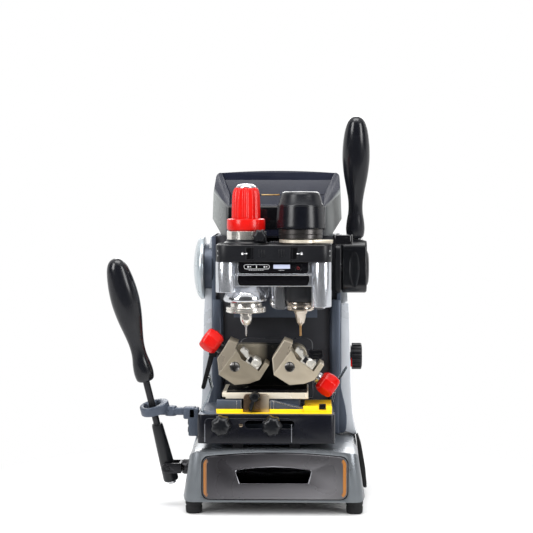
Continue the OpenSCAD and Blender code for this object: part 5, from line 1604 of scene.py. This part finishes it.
# %% Clamp blocks
CLAMP_OUTLINE = [
    (-27.4, -14), (-28.6, 12.5), (-18.2, 15), (-18, 12), (-17.4, 11.8), (-17.2, 8.2), (-14.2, 7.9),
    (-14, 6.6), (-11, 6.3), (-10.8, 5.2), (-8, 5), (-7.8, 3.6), (-5.2, 3.3), (-5, 2), (21, 2), (21, 14.8),
    (26.6, 14.8), (27.4, -5.6), (20.2, -16.1), (7, -27.4), (-14.8, -28.3)]
JAW_OUTLINE = [(1.5, 2.1), (18.6, 2.1), (18.6, 10.6), (16.6, 12.4), (8, 12.4), (6, 9.4), (1.5, 9.4)]
FINGER = [
    (-11, 9), (-9.6, 8.9), (-9.4, 8.5), (-6, 8.4), (-5.8, 7.8), (-3.2, 7.6), (-3, 7), (1.4, 6.4), (3, 6.4),
    (3, 9.3), (0.4, 9.6), (0, 11.2), (-1.6, 11.4), (-2.2, 13.7), (-5.4, 13.9), (-5.6, 13), (-7.4, 13.1),
    (-7.6, 14), (-10.2, 14.2), (-10.4, 12.4), (-10.9, 12.2)]
CLAMP_Y0, CLAMP_Y1, SCREW_Y, SCREW_Z, SMALL_SCREW = -75, -33, -54, -3, (-5.1, -9.8)


def in_clamp(obj, side):
    return put(obj, (CLAMP_XS[side], 0, CLAMP_Z), (0, CLAMP_TILT, 0))


def slotted_screw(x, z, y):
    """A screw whose dished face shows the bow-tie gleam that turning leaves."""
    profile = [(0, 1.0), (2, 0.9), (4.2, 0.35), (5.2, 0), (5.7, 0.2), (5.9, 0.7), (5.9, 3), (0, 3)]
    head = turned("screw", profile, (x, y, z), (-90, 0, 0), 64)
    return carve(head, put(block("slot", (-7, -1.2, -0.6), (7, 1.5, 0.6)), (x, y, z), (0, 48, 0)))


def build_clamp(side, metal):
    body = prism("block", CLAMP_OUTLINE, "Y", CLAMP_Y0, CLAMP_Y1)
    bore = (3, 30) if side == "right" else (-30, 18)
    facet = [(-30, -18), (-30, 18), (-17, 18), (-17, 8), (-14.2, 7), (-14.6, -2), (-15.4, -30), (-18, -30)]
    carve(body, block("slot", (3.6, -60, -8.4), (17.4, -48, 2.2)),
          rod("bore", "X", *bore, (SCREW_Y, SCREW_Z), 4.06),
          rod("pocket", "Y", CLAMP_Y0 - 1, CLAMP_Y0 + 3, SMALL_SCREW, 6.2, 48),
          prism("facet", facet, "Y", CLAMP_Y0 - 1, CLAMP_Y0 + 0.6))
    soften(body, 0.45, 2, 22)
    # The facet plate's own tone and its bright edges stand in for the light and shade on a milled facet:
    # painted shade and painted highlights.
    lift = [(-26.6, -13.4), (-27.7, 11.9), (-18.8, 14), (-18.7, 11.4), (-18, 11.2), (-17.9, 7.6), (-15, 6.6),
            (-15.4, -2), (-15.9, -26), (-16.4, -26)]
    lift = paint(prism("lift", lift, "Y", CLAMP_Y0 + 0.35, CLAMP_Y0 + 0.75), facet_painted_light)
    trunnion = soften(rod("trunnion", "Y", CLAMP_Y1 - 1, -9, (0, 0), 9), 0.5)
    metal_part = paint(join("metal", body, trunnion), metal)
    screw = paint(slotted_screw(*SMALL_SCREW, CLAMP_Y0 + 0.5), screw_steel)
    clamp = in_clamp(join(side + "_clamp_body", metal_part, lift, screw), side)
    return fit(clamp, side + "_clamp", None, [side + "_clamp"])


def build_jaw(side):
    jaw = soft_prism("jaw", JAW_OUTLINE, "Y", CLAMP_Y0 + 2.6, CLAMP_Y1 - 2, 0.4, 2, 28)
    finger = soft_prism("finger", FINGER, "Y", CLAMP_Y0 + 2, CLAMP_Y0 + 25, 0.35, 2, 20)
    head = [(0, 0.5), (2.2, 0.5), (2.4, 0.2), (4, 0), (4.6, 0.6), (4.6, 2.6), (0, 2.6)]
    head = turned("head", head, (12.2, CLAMP_Y0 + 0.4, 7.4), (-90, 0, 0), 48)
    nut = soft_block("nut", (9, -59.4, -8), (15, -48.6, 2.4), 0.4)
    carve(nut, rod("bore", "X", 2, 20, (SCREW_Y, SCREW_Z), 4.06))
    link = paint(soft_block("link", (3, CLAMP_Y0 + 2.2, 4), (8.4, CLAMP_Y0 + 12, 10)), blackened)
    bright = paint(join("bright", jaw, nut, head, finger), nickel_bright)
    body = in_clamp(join("body", bright, link), side)
    if side == "right":
        stop = prism("stop", [(40, 176), (54.5, 177), (56.5, 180), (56.5, 187.5), (40, 187.5)], "Y", -72, -64)
        carve(stop, block("slot", (46, -73, 182.6), (53.6, -70.8, 183.4)),
              block("slot", (44, -73, 179.4), (51, -70.8, 180)))
        body = join("body", body, paint(soften(stop, 0.7, 3), gloss_black))
    return fit(join(side + "_jaw_body", body), side + "_jaw", None, [side + "_jaw"])


def build_jaw_knob(side):
    """An eight-sided knob: a spin with eight steps, whose edges are then broken."""
    profile = [(0, 33.4), (10, 33.4), (13.2, 37.4), (14.6, 45.4), (13.4, 52.4), (12, 54.6), (10.2, 55.4),
               (0, 55.4)]
    knob = soften(spun("knob", profile, 8), 0.9, 3, 20)
    grip = paint(put(knob, turn=(0, 0, 22.5)), red_plastic)
    cap = turned("cap", [(0, 55), (5.4, 55), (5.2, 55.7), (4, 55.9), (0, 55.9)], steps=32)
    paint(cap, red_plastic)
    start, metal, turn = (5, steel, 90) if side == "right" else (-16.5, blackened, -90)
    profile = [(0, start), (4, start), (4, 28.8), (6.6, 28.8), (7, 29.3), (7, 33), (6.6, 33.6), (0, 33.6)]
    screw = paint(turned("screw", profile, steps=40), metal)
    knob = put(join(side + "_screw_knob", grip, cap, screw), (0, SCREW_Y, SCREW_Z), (0, turn, 0))
    return fit(in_clamp(knob, side), side + "_jaw_knob", None, [side + "_jaw_knob"])


nickel_bright = finish("bright_nickel", (0.70, 0.68, 0.63), 0.2, metallic=0.55, bump=0.08, vary=0.05,
                       brushed=(900.0, 60.0, 900.0))
screw_steel = finish("screw_steel", (0.30, 0.29, 0.28), 0.2, metallic=1.0, bump=0.1, vary=0.1,
                     brushed=(40.0, 900.0, 40.0))
# The left clamp takes a darker copy of the nickel: painted shade.
for side, metal in (("left", nickel_painted_shade), ("right", nickel)):
    build_clamp(side, metal)
    build_jaw(side)
    build_jaw_knob(side)

# %% [markdown]
# ## Joystick
#
# The joystick leans from a fork at the base. A ring on the table's arm stands round
# its shaft, so leaning the stick moves the table. The stick is spun about its own
# axis and then leaned. The lean is worked out from the two points that the axis
# passes through, so that it meets the ring.

# %% Joystick
STICK_EYE, STICK_GRIP = (-143, -77, 119), 112
STICK_X, STICK_Y, STICK_Z = (eye - pivot for eye, pivot in zip(STICK_EYE, STICK_PIVOT))
LEAN_Y = math.degrees(math.atan2(-STICK_Y, math.hypot(STICK_Z, STICK_X)))
LEAN_X = math.degrees(math.atan2(STICK_X, STICK_Z))


def on_stick(obj):
    return put(obj, STICK_PIVOT, (LEAN_Y, LEAN_X, 0))


def build_stick():
    x, y, z = STICK_PIVOT
    profile = [(0, -17), (8.4, -17), (8.9, -16.4), (9, -14), (8.2, 12), (7.4, 33), (6.6, 53), (6, 55.4),
               (4, 56), (0, 56)]
    sleeve = on_stick(turned("sleeve", profile, steps=56))
    pin = rod("pin", "Y", y - 15, y + 15, (x, z), 2.5, 32)
    black = paint(join("black", sleeve, pin), charcoal)
    top = STICK_GRIP + 2
    shaft = paint(on_stick(turned("shaft", [(0, 50), (4, 50), (4, top), (0, top)], steps=40)), blackened)
    nut = paint(on_stick(soften(rod("nut", "Z", -21, -16.8, (0, 0), 5.5, 6), 0.4)), steel)
    grip = paint(on_stick(put(build_grip("stick_grip"), (0, 0, STICK_GRIP))), grip_black)
    stick = join("joystick_body", black, shaft, nut, grip)
    return fit(stick, "joystick", None, ["joystick_rod"])


def build_yoke():
    x, y, z = STICK_PIVOT
    parts = [soften(rod("shaft", "X", -112, -91, (y, z), 3.5), 0.3),
             soft_block("plate", (-113.2, y - 14, z - 6), (-110.4, y + 14, z + 6))]
    outline = [(-112, z - 6), (-112, z + 6)] + arc(x, z, 6, 90, 270, 12)
    for middle in (y - 12.5, y + 12.5):
        ear = prism("ear", outline, "Y", middle - 1.5, middle + 1.5)
        carve(ear, rod("hole", "Y", middle - 2, middle + 2, (x, z), 2.56, 32))
        parts.append(soften(ear, 0.35))
    return fit(join("joystick_fork", *parts), "joystick_yoke", blackened, ["joystick_yoke"])


def build_bracket():
    profile = [(3.56, 0), (10.2, 0), (10.2, 0.9), (9, 1.8), (9, 7.9), (8.2, 9), (8.2, 9.81), (3.56, 9.81)]
    boss = turned("boss", profile, (-99.99, *STICK_PIVOT[1:]), (0, -90, 0), 56)
    return fit(join("joystick_boss", boss), "base", blackened, ["joystick_bracket"])


def build_arm():
    x = STICK_EYE[0]
    bar = soft_block("bar", (-101, -84, 87), (-88.8, -70, 120), 1.6, 3)
    knee = soft_block("knee", (-107, -84, 107), (-92, -70, 121), 2.2, 4)
    reach = soft_block("reach", (x + 8, -82, 111.5), (x + 38, -72, 120), 1.6, 3)
    boss = soften(rod("boss", "Z", 110.5, 122, (-122, -77), 7), 1.0, 3)
    ring = rod("ring", "Z", -5.5, 5.5, (0, 0), 15, 64)
    boolean(ring, rod("lobe", "Z", -5.5, 5.5, (5, 0), 14.5, 64), "UNION")
    eye = [(0, -8), (10.8, -8), (10.8, -5.5), (9.6, -2.4), (8.9, 0), (9.6, 2.4), (10.8, 5.5), (10.8, 8),
           (0, 8)]
    carve(ring, spun("eye", eye))
    ring = put(soften(ring, 1.4, 4, 32), STICK_EYE, (LEAN_Y, LEAN_X, 0))
    caps = []
    for z in (94, 103):
        caps.append(soften(rod("cap", "X", -101.9, -100.6, (-77, z), 3.4, 24), 0.35))
        carve(caps[-1], rod("hex", "X", -103, -101.2, (-77, z), 1.7, 6))
    arm = paint(join("arm", bar, knee, reach, boss, ring), slate_paint)
    caps = paint(join("caps", *caps), blackened)
    return fit(join("joystick_arm_body", arm, caps), "table", None, ["joystick_arm"])


build_stick()
build_yoke()
build_bracket()
build_arm()

# %% [markdown]
# ## Parts that stay as the frame gives them
#
# What sits inside or underneath keeps the frame's shape, and gets a finish of its
# own through its material slots. The colours say what each part is: bright rods,
# a green circuit board, a wrapped battery, oiled springs.

# %% Finishes of the inner parts
board_green = finish("board_green", (0.02, 0.16, 0.06), 0.35, coat=0.2, grain=1400, bump=0.1, vary=0.25)
battery_wrap = finish("battery_wrap", (0.03, 0.09, 0.24), 0.3, coat=0.3, grain=600, bump=0.06, vary=0.08)
spring_steel = finish("spring_steel", (0.34, 0.34, 0.36), 0.34, metallic=1.0, grain=1200, bump=0.2, vary=0.15)
bright_rod = finish("bright_rod", (0.72, 0.72, 0.74), 0.12, metallic=1.0, bump=0.05, vary=0.05,
                    brushed=(60.0, 60.0, 1400.0))
tray_plastic = finish("tray_plastic", (0.024, 0.025, 0.028), 0.5, grain=1300, bump=0.35)

CARRIED = {
    "base_plate": charcoal, "dc_inlet": tray_plastic, "control_board": board_green,
    "battery_pack": battery_wrap, "guide_rails": blackened, "lever_spring": spring_steel,
    "case_screws": blackened, "drawer_tray": tray_plastic, "head_plate": slate_paint, "head_rack": steel,
    "spindle_bearings": bright_rod, "spindle_shaft": bright_rod, "lever_shaft": steel, "saddle": slate_paint,
    "table_rods": bright_rod,
}
for node, material in CARRIED.items():
    part = bpy.data.objects[node]
    part.data.materials.clear()
    part.data.materials.append(material)
    for slot in part.material_slots:
        slot.material = material
print("carried over:", ", ".join(CARRIED))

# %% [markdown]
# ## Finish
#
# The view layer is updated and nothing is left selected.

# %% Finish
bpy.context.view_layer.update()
deselect()
